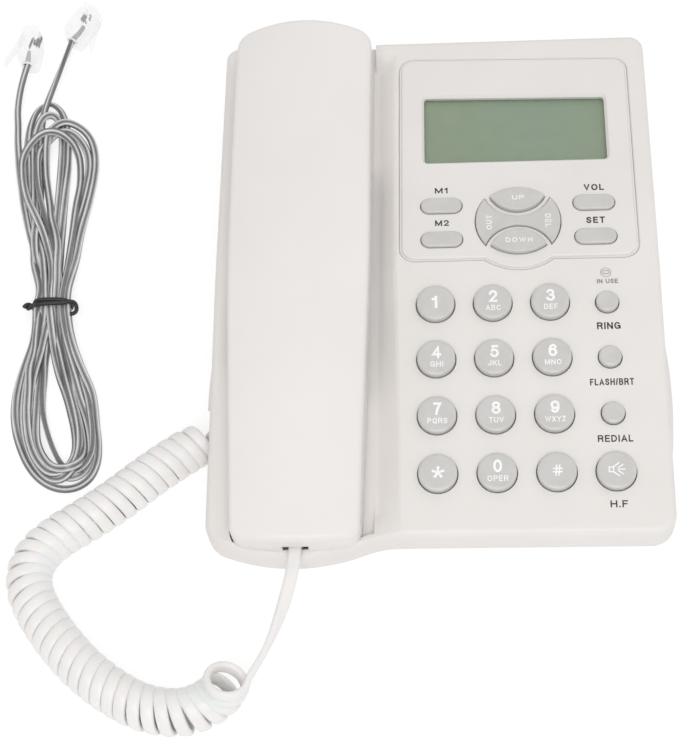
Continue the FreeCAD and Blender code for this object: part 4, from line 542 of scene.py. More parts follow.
curly, curly_line = curly_cord()
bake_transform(curly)

# ------------------------------------------------------------------ the grey line cord: one strand, laid in a tied hank
LINE = mm(
    [
        (-156.36, 115.14, 5.1), (-157.7, 108.4, 4.2), (-158.7, 101.5, 2.6), (-158.9, 94.8, 1.4),
        (-157.9, 88, 1.2), (-157.3, 80.9, 1.2), (-156.2, 73.9, 1.2), (-155.1, 67, 1.2),
        (-153.5, 60.1, 1.2), (-152.1, 53, 1.2), (-150.3, 46.2, 1.2), (-148.4, 39.3, 1.2),
        (-146.1, 32.6, 1.2), (-145.5, 25.6, 1.2), (-143.1, 18.8, 3.4), (-141, 12, 4.3),
        (-141.8, 5.1, 5), (-141.7, -2, 1.9), (-142.2, -8.8, 1.1), (-143.8, -15.9, 1.3),
        (-145.1, -22.8, 1.2), (-145.9, -29.8, 1.2), (-145.6, -36.9, 1.2), (-144.2, -43.7, 1.2),
        (-141.7, -50.3, 1.2), (-138.5, -56.6, 1.2), (-134, -61.9, 1.2), (-128.2, -65.2, 1.2),
        (-121.9, -65.2, 1.2), (-117, -61.6, 1.2), (-115.1, -55.5, 1.2), (-115.4, -48.5, 1.2),
        (-116.8, -41.6, 1.2), (-117.8, -34.9, 1.2), (-119.4, -27.7, 1.2), (-122.7, -21.2, 2.7),
        (-125.6, -14.5, 3.4), (-128.1, -7.7, 3.5), (-129.8, -0.9, 3.4), (-130.9, 6.1, 4.8),
        (-131.1, 13.1, 4.3), (-130.5, 20.1, 2.8), (-129.9, 27.2, 1.4), (-129.7, 34.3, 1.1),
        (-129.1, 41.3, 1.2), (-128, 48.3, 1.2), (-127.2, 55.4, 1.2), (-126.6, 62.4, 1.2),
        (-126.5, 69.4, 1.2), (-127.5, 76.3, 1.2), (-130, 82.7, 1.1), (-134.5, 87.4, 1.5),
        (-140, 88.4, 3.8), (-145.1, 84.9, 2.8), (-145.4, 78.6, 4), (-145.5, 71.6, 1.8),
        (-144.8, 64.6, 1.1), (-143.3, 57.6, 1.3), (-141.8, 50.8, 1.1), (-140.4, 43.8, 2.8),
        (-138, 37.2, 3.7), (-136.2, 30.4, 5), (-135.8, 23.3, 5.9), (-135.4, 16.3, 4.3),
        (-135.1, 9.4, 4.8), (-134.7, 2.5, 4), (-134.1, -4.3, 1.1), (-132.1, -11.1, 1.3),
        (-130.3, -18, 1.3), (-128.1, -24.9, 2.8), (-125.8, -31.7, 3.4), (-123.6, -38.5, 3.2),
        (-121.9, -45.4, 3), (-121.4, -52.1, 2.7), (-122.4, -58.6, 4.2), (-126.4, -62.6, 2.4),
        (-131.9, -60.8, 1.1), (-136.3, -55.7, 1.3), (-139.7, -49.3, 1.2), (-141.7, -42.5, 1.2),
        (-142.7, -35.5, 1.2), (-143, -28.5, 1.2), (-142.4, -21.4, 1.3), (-141.3, -14.4, 1.1),
        (-140.6, -7.4, 2.2), (-138.7, -0.7, 3.6), (-138.8, 6.4, 4.8), (-139.6, 13.4, 4.2),
        (-140.7, 20.3, 3.2), (-141.9, 27.4, 3.6), (-144.5, 34.1, 1.9), (-146.5, 40.7, 1.1),
        (-148.4, 47.6, 1.3), (-150.1, 54.5, 1.2), (-151.2, 61.5, 1.2), (-152.1, 68.6, 1.2),
        (-153, 75.7, 1.2), (-153.5, 82.7, 1.2), (-153, 89.7, 1.2), (-151.1, 96.1, 1.2),
        (-146.9, 99, 1.2), (-142.6, 96.1, 1.2), (-139.7, 90.1, 1.2), (-138.1, 83.2, 1.2),
        (-137.5, 76, 1.2), (-136.9, 69, 1.2), (-136.8, 61.9, 1.2), (-136.8, 54.8, 1.2),
        (-136.6, 47.7, 1.2), (-136.4, 40.6, 1.2), (-136.2, 33.5, 1.2), (-135.9, 26.5, 1.3),
        (-135.7, 19.4, 1.1), (-135.5, 12.6, 2.1), (-135.4, 6.4, 2.4), (-137.1, -0.1, 3.5),
        (-137.9, -6.9, 3.2), (-138.5, -13.9, 3.4), (-139.9, -21, 3.3), (-140.8, -27.8, 1.4),
        (-140.5, -34.6, 1.2), (-139.6, -41.7, 1.2), (-137.6, -48.4, 1.2), (-134.5, -54.7, 1.2),
        (-129.9, -58.7, 1.2), (-123.3, -61.6, 1.2), (-118.7, -58.6, 1.2), (-117.5, -51.4, 1.2),
        (-118.4, -44.6, 1.2), (-120.4, -37.7, 1.1), (-123, -31.1, 1.4), (-124.9, -24.2, 2.8),
        (-127.1, -17.3, 3), (-129.3, -10.6, 3.3), (-131.2, -3.8, 3.2), (-132.5, 3.1, 4.1),
        (-132.9, 10.1, 4.9), (-132.6, 17.2, 3.7), (-132.3, 24.3, 3.3), (-132, 31.4, 3.5),
        (-131.8, 38.5, 3.4), (-131.8, 45.6, 3.4), (-132, 52.7, 1.7), (-131.5, 59.7, 1.1),
        (-131.9, 66.7, 1.3), (-133.1, 73.5, 1.1), (-136, 79.4, 2.6), (-141.4, 82.7, 5.1),
        (-147.4, 82.2, 5.2), (-152.1, 77.7, 3.4), (-154.2, 71.5, 3.1), (-153.5, 64.7, 3),
        (-152, 57.9, 3.1), (-149.7, 51.4, 3.6), (-146.3, 45, 5.5), (-143, 38.6, 3.9),
        (-140.6, 32, 2.5), (-138.5, 25.5, 3.3), (-137.3, 18.7, 3.5), (-137.1, 11.6, 4.3),
        (-136.6, 4.7, 5.1), (-135.5, -2.3, 4.6), (-134.7, -9.4, 1.1), (-133, -16.3, 1.3),
        (-130.8, -23.1, 1.2), (-128, -29.6, 1.2), (-125.8, -36.4, 1.1), (-123.8, -43.1, 1.3),
        (-122.7, -50.1, 1.1), (-123.6, -56.1, 2.2), (-126.7, -60.3, 3.7), (-131.3, -59.9, 2.9),
        (-135.8, -54.9, 3.2), (-138.6, -48.6, 3.2), (-140.1, -41.8, 3.4), (-141, -34.8, 3.2),
        (-141, -27.6, 3.8), (-141.4, -20.5, 5.2), (-140.6, -13.5, 3.2), (-140.3, -6.4, 5),
        (-140.4, 0.8, 4.4), (-140.8, 7.6, 1.9), (-141.8, 14.5, 2.1), (-142.4, 21.5, 1.1),
        (-144.5, 28.3, 3.4), (-145.5, 35.5, 4.3), (-145.9, 42.5, 2.9), (-147.2, 49.5, 2.8),
        (-148.3, 56.4, 1.4), (-149.3, 63.4, 1.1), (-150.1, 70.4, 1.2), (-151, 77.6, 1.2),
        (-150.3, 84.8, 3), (-148.1, 90.9, 3.7), (-144.9, 93.4, 1.3), (-141.9, 89.8, 1.2),
        (-140.4, 83.1, 1.2), (-139.7, 76.1, 1.2), (-139.4, 69, 1.2), (-139.2, 61.9, 1.2),
        (-139, 54.8, 1.2), (-138.8, 47.7, 1.2), (-138.6, 40.7, 1.2), (-138.3, 33.5, 1.2),
        (-137.9, 26.5, 1.3), (-137.6, 19.5, 1.1), (-137.3, 12.3, 2.4), (-137.4, 5.5, 1.9),
        (-137.1, -1.6, 1.1), (-136.8, -8.8, 1.3), (-137, -15.8, 1.2), (-136.5, -22.7, 1.2),
        (-136.4, -30, 1.2), (-135.5, -37, 1.2), (-133.4, -43.8, 1.2), (-130.7, -50.3, 1.3),
        (-127.2, -56.5, 1.1), (-122.6, -59.4, 1.7), (-118.3, -58, 3.7), (-116.7, -52.1, 3.2),
        (-117.3, -45, 3.2), (-118.8, -38.1, 3), (-120.6, -31.2, 1.7), (-123.2, -24.5, 1.1),
        (-125.5, -17.7, 1.2), (-127.3, -10.9, 1.2), (-129, -4.1, 1.1), (-130.3, 2.8, 1.5),
        (-131.1, 9.7, 2.7), (-131.5, 16.8, 1.3), (-132.1, 23.9, 1.2), (-132, 30.9, 1.2),
        (-131.7, 38, 1.2), (-130.8, 45, 1.2), (-129.8, 52, 1.2), (-129.2, 59.1, 1.2),
        (-128.7, 66.1, 1.1), (-129.4, 73, 1.3), (-132, 79.2, 1.1), (-136.6, 83.7, 3.4),
        (-142.5, 83.8, 2.6), (-146.3, 79.7, 1.1), (-148, 73.3, 3.9), (-147.8, 66.2, 3.3),
        (-146.8, 59.2, 3.5), (-145.1, 52.3, 3.6), (-143.1, 45.5, 2.1), (-141, 38.8, 2),
        (-138.4, 32.2, 3.6), (-136.2, 25.1, 3.3), (-134.4, 18.2, 2.9), (-133.5, 11.4, 2.2),
        (-132.4, 4.7, 2.2), (-131.5, -2.1, 1.1), (-130.5, -9.1, 1.3), (-128.6, -15.9, 1.2),
        (-126.7, -22.7, 1.2), (-125.6, -29.8, 1.2), (-123.3, -36.5, 1.2), (-121.2, -43, 1.2),
        (-119.7, -49.8, 1.3), (-119.4, -56, 4.4), (-123.1, -60, 6.5), (-128.8, -59.4, 5.1),
        (-132.9, -55.1, 3.3), (-136, -49.4, 3.1), (-137.3, -42.7, 2.4), (-138.1, -35.7, 1.1),
        (-138.6, -28.6, 1.3), (-138.7, -21.5, 1.2), (-139.1, -14.5, 1.2), (-138.7, -7.4, 1.2),
        (-139, -0.4, 1.1), (-139, 6.8, 2.5), (-139.7, 13.7, 1.8), (-140.6, 20.8, 1.1),
        (-141.4, 27.6, 1.3), (-142.5, 34.6, 1.2), (-144.4, 41.6, 1.2), (-145.5, 48.6, 1.2),
        (-145.9, 55.7, 1.2), (-147, 62.7, 1.2), (-147.8, 69.8, 1.2), (-148.8, 76.7, 1.2),
        (-148.6, 83.8, 1.3), (-148.9, 90.9, 1.6), (-147.6, 97.0, 2.8), (-145.7, 104.2, 3.4),
        (-143.8, 111.4, 4.0), (-141.9, 118.9, 4.6), (-140, 126.41, 5.1),
    ]
)
LINE_W, LINE_T = 2.85 * MM, 2.05 * MM


def grooved(half_w, half_t, count=20, dip=0.2):
    """Section of a flat two-lobed cord: an oval with a shallow groove along both wide sides."""
    pts = []
    for i in range(count):
        a = 2 * math.pi * (i + 0.5) / count
        c, q = math.cos(a), math.sin(a)
        x = half_w * math.copysign(abs(c) ** 0.8, c)
        y = half_t * math.copysign(abs(q) ** 0.72, q)
        pts.append((x, y * (1 - dip * math.exp(-((x / (0.3 * half_w)) ** 2)))))
    return pts


def carried(line, first):
    """Normals carried along the line without twist."""
    t = tangents(line)
    n = np.zeros_like(line)
    v = np.array(first, float)
    for i in range(len(line)):
        v = v - v.dot(t[i]) * t[i]
        v /= np.linalg.norm(v)
        n[i] = v
    return n, np.cross(t, n)


def line_cord():
    raw = route(LINE, 8)
    long = arc_lengths(raw)[-1]
    line = along(raw, np.linspace(0, long, int(long / (1.15 * MM))))
    n, w = carried(line, (0.0, 0.0, 1.0))
    s = arc_lengths(line)
    # the flat cord rolls slowly from side to side along its length
    roll = 0.55 * np.sin(s / 0.041) + 0.4 * np.sin(s / 0.0173 + 1.3) + 0.25 * np.sin(s / 0.093 + 0.4)
    flat = n * np.cos(roll)[:, None] + w * np.sin(roll)[:, None]
    # where it rolls onto its edge the cord rests on the surface, not in it
    wide = np.cross(tangents(line), flat)
    reach = 1.07 * np.hypot(LINE_W / 2 * wide[:, 2], LINE_T / 2 * flat[:, 2]) + 0.03 * MM
    line[:, 2] = np.maximum(line[:, 2], reach)
    mesh = sweep(line, flat, grooved(LINE_W / 2, LINE_T / 2))
    o = link("line_cord", mesh, "cord_grey", "base")
    # painted highlight and painted shade: lighter strips of the grey over the two lobes, darker strips along the groove
    # and the edges
    mesh.materials.append(MAT["cord_light"])
    mesh.materials.append(MAT["cord_dark"])
    painted_light_bands = [2, 0, 1, 0, 2, 0, 1, 0, 2, 2, 2, 0, 1, 0, 2, 0, 1, 0, 2, 2]
    for q in mesh.polygons:
        if len(q.vertices) == 4:
            q.material_index = painted_light_bands[q.index % 20]
    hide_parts("line_cord_hank", "line_cord_lead_a", "line_cord_lead_b")
    return o, line


line_obj, line_path = line_cord()


# black tie: one plastic-coated wire, twice round the bundle, its ends twisted on the left and curled on the right
def wire_normals(line):
    n, _ = carried(line, (0.0, 1.0, 0.01))
    return n


def round_section(radius, count=10):
    return [(radius * math.cos(2 * math.pi * i / count), radius * math.sin(2 * math.pi * i / count)) for i in range(count)]


TIE = mm(
    [
        (-142.6, 6.3, 3.2),
        (-142.3, 6.5, 4.9),
        (-141.2, 6.55, 6.9),
        (-136.0, 6.6, 7.2),
        (-131.0, 6.4, 6.9),
        (-129.2, 6.3, 5.0),
        (-129.2, 6.0, 2.2),
        (-130.8, 5.8, 0.8),
        (-136.0, 5.6, 0.76),
        (-140.9, 5.4, 0.8),
        (-142.4, 5.2, 2.2),
        (-142.4, 5.0, 5.0),
        (-141.0, 4.9, 6.9),
        (-136.0, 4.95, 7.2),
        (-131.4, 5.1, 7.0),
        (-129.2, 5.9, 6.7),
        (-127.6, 6.0, 5.6),
        (-126.9, 4.2, 4.6),
        (-127.4, 2.2, 4.4),
        (-129.2, 1.7, 4.7),
    ]
)


def tie_wire():
    whole = bmesh.new()
    lines = [route(TIE, 8)]
    a, b = Vector((-142.3, 5.8, 3.4)) * MM, Vector((-146.2, 6.5, 2.9)) * MM
    axis = (b - a).normalized()
    up = Vector((0, 0, 1))
    side = axis.cross(up).normalized()
    up = side.cross(axis)
    for k in (0, 1):
        pts = []
        for i in range(41):
            f = i / 40
            ang = math.pi * k + 2 * math.pi * 0.9 * f
            pts.append(a + (b - a) * f + (side * math.cos(ang) + up * math.sin(ang)) * 0.72 * MM)
        lines.append(np.array([tuple(q) for q in pts]))
    for line in lines:
        mesh = sweep(line, wire_normals(line), round_section(0.76 * MM))
        whole.from_mesh(mesh)
        bpy.data.meshes.remove(mesh)
    mesh = bpy.data.meshes.new("tie_wire")
    whole.to_mesh(mesh)
    whole.free()
    for q in mesh.polygons:
        q.use_smooth = len(q.vertices) == 4
    o = link("tie_wire", mesh, "tie", "base")
    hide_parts("twist_tie")
    return o


tie_wire()


# what shows through the clear line plugs: the contact blades, and the cord's end in the body
def plug_frame(x, y, heading, roll):
    return (
        Matrix.Translation(Vector((x, y, PLUG_W / 2 + 0.02)))
        @ Matrix.Rotation(math.radians(180 + heading), 4, "Z")
        @ Matrix.Rotation(math.radians(roll), 4, "Y")
    )


PLUG_W = 10.2


def blade(bm, frame, x, outline, thick=0.32):
    """A thin sheet-metal outline in the plug's side plane, at x across the plug; all in mm."""
    rows = []
    for off in (-thick / 2, thick / 2):
        rows.append([bm.verts.new((frame @ Vector((x + off, y, z))) * MM) for y, z in outline])
    bm.faces.new(rows[0])
    bm.faces.new(rows[1][::-1])
    for i in range(len(outline)):
        j = (i + 1) % len(outline)
        bm.faces.new((rows[0][i], rows[1][i], rows[1][j], rows[0][j]))


def plug_insides(name, frame, blades, lead, widths):
    bm = bmesh.new()
    for x, outline in blades:
        blade(bm, frame, x, outline)
    bmesh.ops.recalc_face_normals(bm, faces=bm.faces)
    mesh = bpy.data.meshes.new(name + "_blades")
    bm.to_mesh(mesh)
    bm.free()
    link(name + "_blades", mesh, "contact", "base")
    # the cord's end, flat and narrowing towards the blades
    line = np.array([tuple((frame @ Vector(q)) * MM) for q in lead])
    fine = along(line, np.linspace(0, arc_lengths(line)[-1], 14))
    t = tangents(fine)
    up = np.array(tuple((frame.to_3x3() @ Vector((1, 0, 0)))))
    n = up - (t @ up)[:, None] * t
    n /= np.linalg.norm(n, axis=1)[:, None]
    w = np.cross(t, n)
    verts, faces = [], []
    sec = oval(0.5, 0.5, 12, 2.6)
    for i in range(len(fine)):
        wide = float(np.interp(i / (len(fine) - 1), (0, 1), widths)) * MM
        for a, b in sec:
            verts.append(tuple(fine[i] + w[i] * a * wide + n[i] * b * 1.9 * MM))
    k = len(sec)
    for i in range(len(fine) - 1):
        for j in range(k):
            j2 = (j + 1) % k
            faces.append((i * k + j, i * k + j2, (i + 1) * k + j2, (i + 1) * k + j))
    faces.append(tuple(range(k))[::-1])
    faces.append(tuple((len(fine) - 1) * k + j for j in range(k)))
    mesh = bpy.data.meshes.new(name + "_lead")
    mesh.from_pydata(verts, [], faces)
    bm = bmesh.new()
    bm.from_mesh(mesh)
    bmesh.ops.recalc_face_normals(bm, faces=bm.faces)
    bm.to_mesh(mesh)
    bm.free()
    link(name + "_lead", mesh, "cord_grey", "base")
    # pale rim of the cord opening
    mid = frame @ Vector((0.0, 15.55, 3.6))
    out_dir = (frame.to_3x3() @ Vector((0, 1, 0))).normalized()
    flat_dir = (frame.to_3x3() @ Vector((1, 0, 0))).normalized()
    wide_dir = out_dir.cross(flat_dir)
    ring = []
    for i in range(25):
        a = 2 * math.pi * i / 24
        ring.append(tuple((mid + wide_dir * 1.75 * math.cos(a) + flat_dir * 1.35 * math.sin(a)) * MM))
    line = np.array(ring)
    normals = np.tile(np.array(tuple(out_dir)), (len(line), 1))
    mesh = sweep(line, normals, oval(0.38 * MM, 0.5 * MM, 8, 2.4), cap=True)
    link(name + "_rim", mesh, "frost", "base")


def bar(y0, z0, y1, z1, wide=0.34):
    """A thin straight strip in a plug's side plane, as a four-point outline."""
    d = Vector((y1 - y0, z1 - z0)).normalized() * wide / 2
    return [(y0 - d.y, z0 + d.x), (y1 - d.y, z1 + d.x), (y1 + d.y, z1 - d.x), (y0 + d.y, z0 - d.x)]


COMB = [bar(7.2, 2.7, 2.6, 3.2), bar(2.2, 3.6, 5.2, 4.5), bar(5.4, 4.0, 3.0, 5.3), bar(6.2, 5.2, 2.2, 5.7), bar(6.6, 6.2, 1.7, 6.7)]
PRONG = [bar(5.6, 4.9, 2.4, 5.1), bar(5.2, 5.9, 2.2, 6.1), bar(1.5, 3.6, 2.1, 3.6, 0.5), bar(3.0, 3.1, 3.6, 3.1, 0.5), bar(5.0, 3.7, 5.6, 3.7, 0.45)]
plug_insides(
    "line_plug_a",
    plug_frame(-158.6, 130.8, -5.0, -90.0),
    [(x, q) for x in (0.51, -0.51) for q in COMB],
    [(0, 9.2, 3.1), (0, 12.2, 3.3), (0, 15.4, 3.6)],
    (1.2, 2.4),
)
plug_insides(
    "line_plug_b",
    plug_frame(-129.8, 138.5, -27.0, 90.0),
    [(x, q) for x in (-0.51, 0.51) for q in PRONG],
    [(0, 7.6, 3.2), (0, 11.0, 3.0), (0, 15.4, 3.6)],
    (1.4, 1.9),
)

# ------------------------------------------------------------------ printed and moulded characters
KEY_SLOPE, PANEL_SLOPE = math.radians(7.0), math.radians(2.5)


def face_axes(slope):
    return (
        Vector((1, 0, 0)),
        Vector((0, math.cos(slope), math.sin(slope))),
        Vector((0, -math.sin(slope), math.cos(slope))),
    )


TREES = {}


def tree_of(node):
    if node not in TREES:
        me = NODES[node].data
        TREES[node] = BVHTree.FromPolygons([v.co for v in me.vertices], [tuple(p.vertices) for p in me.polygons])
    return TREES[node]


def arc(cx, cy, rx, ry, a0, a1, n=9):
    out = []
    for i in range(n):
        a = math.radians(a0 + (a1 - a0) * i / (n - 1))
        out.append((cx + rx * math.cos(a), cy + ry * math.sin(a)))
    return out


def loop(cx, cy, rx, ry, n=18):
    return arc(cx, cy, rx, ry, 0, 360, n + 1)[:-1]


# centre lines of the characters in a unit box; a True marks a closed line; the number is the width against the height
STROKES = {
    "0": (0.64, [(loop(0.5, 0.5, 0.5, 0.5), True)]),
    "1": (0.40, [([(0.82, 0), (0.82, 1)], False), ([(0.78, 0.97), (0.5, 0.84), (0.0, 0.79)], False)]),
    "2": (0.64, [(arc(0.5, 0.7, 0.48, 0.3, 172, -28, 10) + [(0.03, 0.0), (1, 0)], False)]),
    "3": (0.64, [(arc(0.47, 0.755, 0.44, 0.245, 160, -90, 11), False), (arc(0.48, 0.265, 0.52, 0.265, 90, -162, 12), False)]),
    "4": (0.68, [([(0.72, 0), (0.72, 1), (0, 0.27), (1, 0.27)], False)]),
    "5": (0.64, [([(0.9, 1), (0.17, 1), (0.07, 0.5)] + arc(0.47, 0.33, 0.53, 0.33, 140, -152, 12), False)]),
    "6": (0.64, [(loop(0.5, 0.31, 0.5, 0.31), True), ([(0.0, 0.34), (0.03, 0.62), (0.2, 0.9), (0.52, 1.0), (0.8, 0.94), (0.93, 0.8)], False)]),
    "7": (0.62, [([(0, 1), (1, 1), (0.64, 0.62), (0.43, 0.3), (0.34, 0)], False)]),
    "8": (0.64, [(loop(0.5, 0.765, 0.43, 0.235), True), (loop(0.5, 0.265, 0.5, 0.265), True)]),
    "9": (0.64, [(loop(0.5, 0.69, 0.5, 0.31), True), ([(1.0, 0.66), (0.97, 0.38), (0.8, 0.1), (0.48, 0.0), (0.2, 0.06), (0.07, 0.2)], False)]),
    "A": (0.76, [([(0, 0), (0.5, 1), (1, 0)], False), ([(0.2, 0.3), (0.8, 0.3)], False)]),
    "B": (0.68, [([(0, 0), (0, 1)] + arc(0.56, 0.765, 0.36, 0.235, 90, -90) + [(0.1, 0.53)], False), ([(0.56, 0.53)] + arc(0.6, 0.265, 0.4, 0.265, 90, -90) + [(0, 0)], False)]),
    "C": (0.76, [(arc(0.52, 0.5, 0.52, 0.5, 42, 318, 15), False)]),
    "D": (0.72, [([(0, 0), (0, 1)] + arc(0.42, 0.5, 0.58, 0.5, 90, -90, 11), True)]),
    "E": (0.62, [([(1, 1), (0, 1), (0, 0), (1, 0)], False), ([(0, 0.52), (0.88, 0.52)], False)]),
    "F": (0.58, [([(1, 1), (0, 1), (0, 0)], False), ([(0, 0.5), (0.84, 0.5)], False)]),
    "G": (0.78, [(arc(0.5, 0.5, 0.5, 0.5, 45, 330, 15), False), ([(0.56, 0.46), (1, 0.46), (1, 0.06)], False)]),
    "H": (0.70, [([(0, 0), (0, 1)], False), ([(1, 0), (1, 1)], False), ([(0, 0.52), (1, 0.52)], False)]),
    "I": (0.18, [([(0.5, 0), (0.5, 1)], False)]),
    "J": (0.54, [([(1, 1)] + arc(0.5, 0.32, 0.5, 0.32, 0, -170), False)]),
    "K": (0.72, [([(0, 0), (0, 1)], False), ([(0.97, 1), (0.06, 0.36)], False), ([(0.36, 0.6), (1, 0)], False)]),
    "L": (0.58, [([(0, 1), (0, 0), (1, 0)], False)]),
    "M": (0.86, [([(0, 0), (0, 1)], False), ([(1, 0), (1, 1)], False), ([(0.03, 0.96), (0.5, 0.08), (0.97, 0.96)], False)]),
    "N": (0.72, [([(0, 0), (0, 1)], False), ([(1, 0), (1, 1)], False), ([(0.03, 0.97), (0.97, 0.03)], False)]),
    "O": (0.80, [(loop(0.5, 0.5, 0.5, 0.5), True)]),
    "P": (0.66, [([(0, 0), (0, 1)] + arc(0.6, 0.745, 0.4, 0.255, 90, -90) + [(0.1, 0.49)], False)]),
    "Q": (0.80, [(loop(0.5, 0.5, 0.5, 0.5), True), ([(0.62, 0.26), (0.98, 0.0)], False)]),
    "R": (0.72, [([(0, 0), (0, 1)] + arc(0.6, 0.755, 0.38, 0.245, 90, -90) + [(0.1, 0.51)], False), ([(0.56, 0.5), (0.86, 0.34), (0.95, 0.0)], False)]),
    "S": (0.68, [([(0.94, 0.78), (0.8, 0.94), (0.5, 1.0), (0.2, 0.94), (0.06, 0.77), (0.15, 0.61), (0.5, 0.51), (0.86, 0.4), (0.97, 0.23), (0.82, 0.06), (0.5, 0.0), (0.17, 0.06), (0.02, 0.23)], False)]),
    "T": (0.66, [([(0, 1), (1, 1)], False), ([(0.5, 1), (0.5, 0)], False)]),
    "U": (0.70, [([(0, 1)] + arc(0.5, 0.36, 0.5, 0.36, 180, 360, 11) + [(1, 1)], False)]),
    "V": (0.72, [([(0, 1), (0.5, 0.02), (1, 1)], False)]),
    "W": (1.02, [([(0, 1), (0.26, 0.02), (0.5, 0.92), (0.74, 0.02), (1, 1)], False)]),
    "X": (0.72, [([(0.02, 1), (0.98, 0)], False), ([(0.02, 0), (0.98, 1)], False)]),
    "Y": (0.72, [([(0, 1), (0.5, 0.46), (1, 1)], False), ([(0.5, 0.46), (0.5, 0)], False)]),
    "Z": (0.66, [([(0, 1), (0.96, 1), (0.03, 0), (1, 0)], False)]),
    "/": (0.34, [([(0, 0), (1, 1)], False)]),
    ".": (0.18, [([(0.5, 0.0), (0.5, 0.02)], False)]),
    "#": (0.80, [([(0.26, 0), (0.4, 1)], False), ([(0.6, 0), (0.74, 1)], False), ([(0, 0.34), (0.96, 0.34)], False), ([(0.04, 0.68), (1, 0.68)], False)]),
    " ": (0.3, []),
}


def ribbon(bm, pts, half, closed):
    """A flat band of constant width along a line, as a closed prism with z from -1 to 1."""
    pts = [Vector(q) for q in pts]
    n = len(pts)
    if not closed:
        pts[0] = pts[0] + (pts[0] - pts[1]).normalized() * half
        pts[-1] = pts[-1] + (pts[-1] - pts[-2]).normalized() * half
    left, right = [], []
    for i in range(n):
        before = pts[i] - pts[i - 1] if (i or closed) else pts[1] - pts[0]
        after = pts[(i + 1) % n] - pts[i] if (i < n - 1 or closed) else pts[i] - pts[i - 1]
        a, b = before.normalized(), after.normalized()
        mid = a + b
        mid = mid.normalized() if mid.length > 1e-6 else a
        nrm = Vector((-mid.y, mid.x))
        reach = half / max(0.5, nrm.dot(Vector((-a.y, a.x))))
        left.append(pts[i] + nrm * reach)
        right.append(pts[i] - nrm * reach)
    rows = []
    for side, z in ((left, 1.0), (right, 1.0), (right, -1.0), (left, -1.0)):
        rows.append([bm.verts.new((q.x, q.y, z)) for q in side])
    steps = range(n if closed else n - 1)
    for i in steps:
        j = (i + 1) % n
        for r in range(4):
            a, b = rows[r], rows[(r + 1) % 4]
            bm.faces.new((a[i], a[j], b[j], b[i]))
    if not closed:
        bm.faces.new([rows[r][0] for r in range(4)])
        bm.faces.new([rows[r][-1] for r in range(4)][::-1])


def glyphs(text, wide, tall, weight=0.16, spacing=0.16, turned=0):
    """A word of stroke letters, wide x tall mm about its own middle; the stroke is weight x tall. Vertices have z +1 or -1."""
    w, h = (tall, wide) if turned else (wide, tall)
    half = weight * h / 2
    units = [STROKES[c][0] for c in text]
    total = sum(units) + spacing * (len(text) - 1)
    f = w / total
    bm = bmesh.new()
    x = -w / 2
    for c, unit in zip(text, units):
        box_w = unit * f
        inner = max(box_w - 2 * half, 0.0)
        for pts, closed in STROKES[c][1]:
            line = [(x + (box_w - inner) / 2 + u * inner, -h / 2 + half + v * (h - 2 * half)) for u, v in pts]
            ribbon(bm, line, half, closed)
        x += (unit + spacing) * f
    bmesh.ops.recalc_face_normals(bm, faces=bm.faces)
    if turned:
        for v in bm.verts:
            a, b = v.co.x, v.co.y
            v.co.x, v.co.y = (-b, a) if turned > 0 else (b, -a)
    return bm


def plate(outlines):
    """Closed flat prisms from outlines in mm, for small pictograms."""
    bm = bmesh.new()
    for pts in outlines:
        top = [bm.verts.new((x, y, 1.0)) for x, y in pts]
        low = [bm.verts.new((x, y, -1.0)) for x, y in pts]
        bm.faces.new(top)
        bm.faces.new(low[::-1])
        for i in range(len(pts)):
            j = (i + 1) % len(pts)
            bm.faces.new((low[i], low[j], top[j], top[i]))
    bmesh.ops.recalc_face_normals(bm, faces=bm.faces)
    return bm


def lay_on(bm, node, x, y, slope, proud=0.045, sunk=0.06):
    """Puts flat artwork on a CAD node's surface: each point is dropped onto the mesh, then lifted along the face's normal."""
    u, v, n = face_axes(slope)
    tree = tree_of(node)
    base = Vector((x, y, 0.0)) * MM
    found = []
    for vert in bm.verts:
        p = base + (u * vert.co.x + v * vert.co.y) * MM
        hit, face, _, _ = tree.ray_cast(Vector((p.x, p.y, 60 * MM)), Vector((0, 0, -1)))
        found.append(hit if hit is not None and face.dot(n) > 0.9 else None)
    flat = sum((h.dot(n) for h in found if h), 0.0) / max(1, sum(1 for h in found if h))
    misses = sum(1 for h in found if not h or abs(h.dot(n) - flat) > 0.5 * MM)
    if misses > 0.1 * len(found):
        raise RuntimeError("artwork misses its surface: " + node)
    for vert, hit in zip(bm.verts, found):
        lift = proud if vert.co.z > 0 else -sunk
        if hit is None or abs(hit.dot(n) - flat) > 0.5 * MM:
            p = base + (u * vert.co.x + v * vert.co.y) * MM
            hit = Vector((p.x, p.y, (flat - p.x * n.x - p.y * n.y) / n.z))
        vert.co = hit + n * lift * MM
    return bm


def artwork(name, parts, mat, body):
    """One mesh from several laid pieces of artwork."""
    whole = bmesh.new()
    for bm in parts:
        tmp = bpy.data.meshes.new("tmp")
        bm.to_mesh(tmp)
        bm.free()
        whole.from_mesh(tmp)
        bpy.data.meshes.remove(tmp)
    mesh = bpy.data.meshes.new(name)
    whole.to_mesh(mesh)
    whole.free()
    return link(name, mesh, mat, body)


COL = (-0.2, 18.8, 37.8)
ROW = (29.97, 9.99, -9.99, -29.97)


def key_point(u, v):
    """Plan position of a point of the keypad face, in mm."""
    return 18.8 + u, -40.5 + v * math.cos(KEY_SLOPE)


def key_label(key, u, v, parts):
    laid = []
    for bm, du, dv in parts:
        x, y = key_point(u + du, v + dv)
        laid.append(lay_on(bm, key, x, y - 2.2 * math.sin(KEY_SLOPE), KEY_SLOPE))
    artwork("print_" + key, laid, "print_white", key)


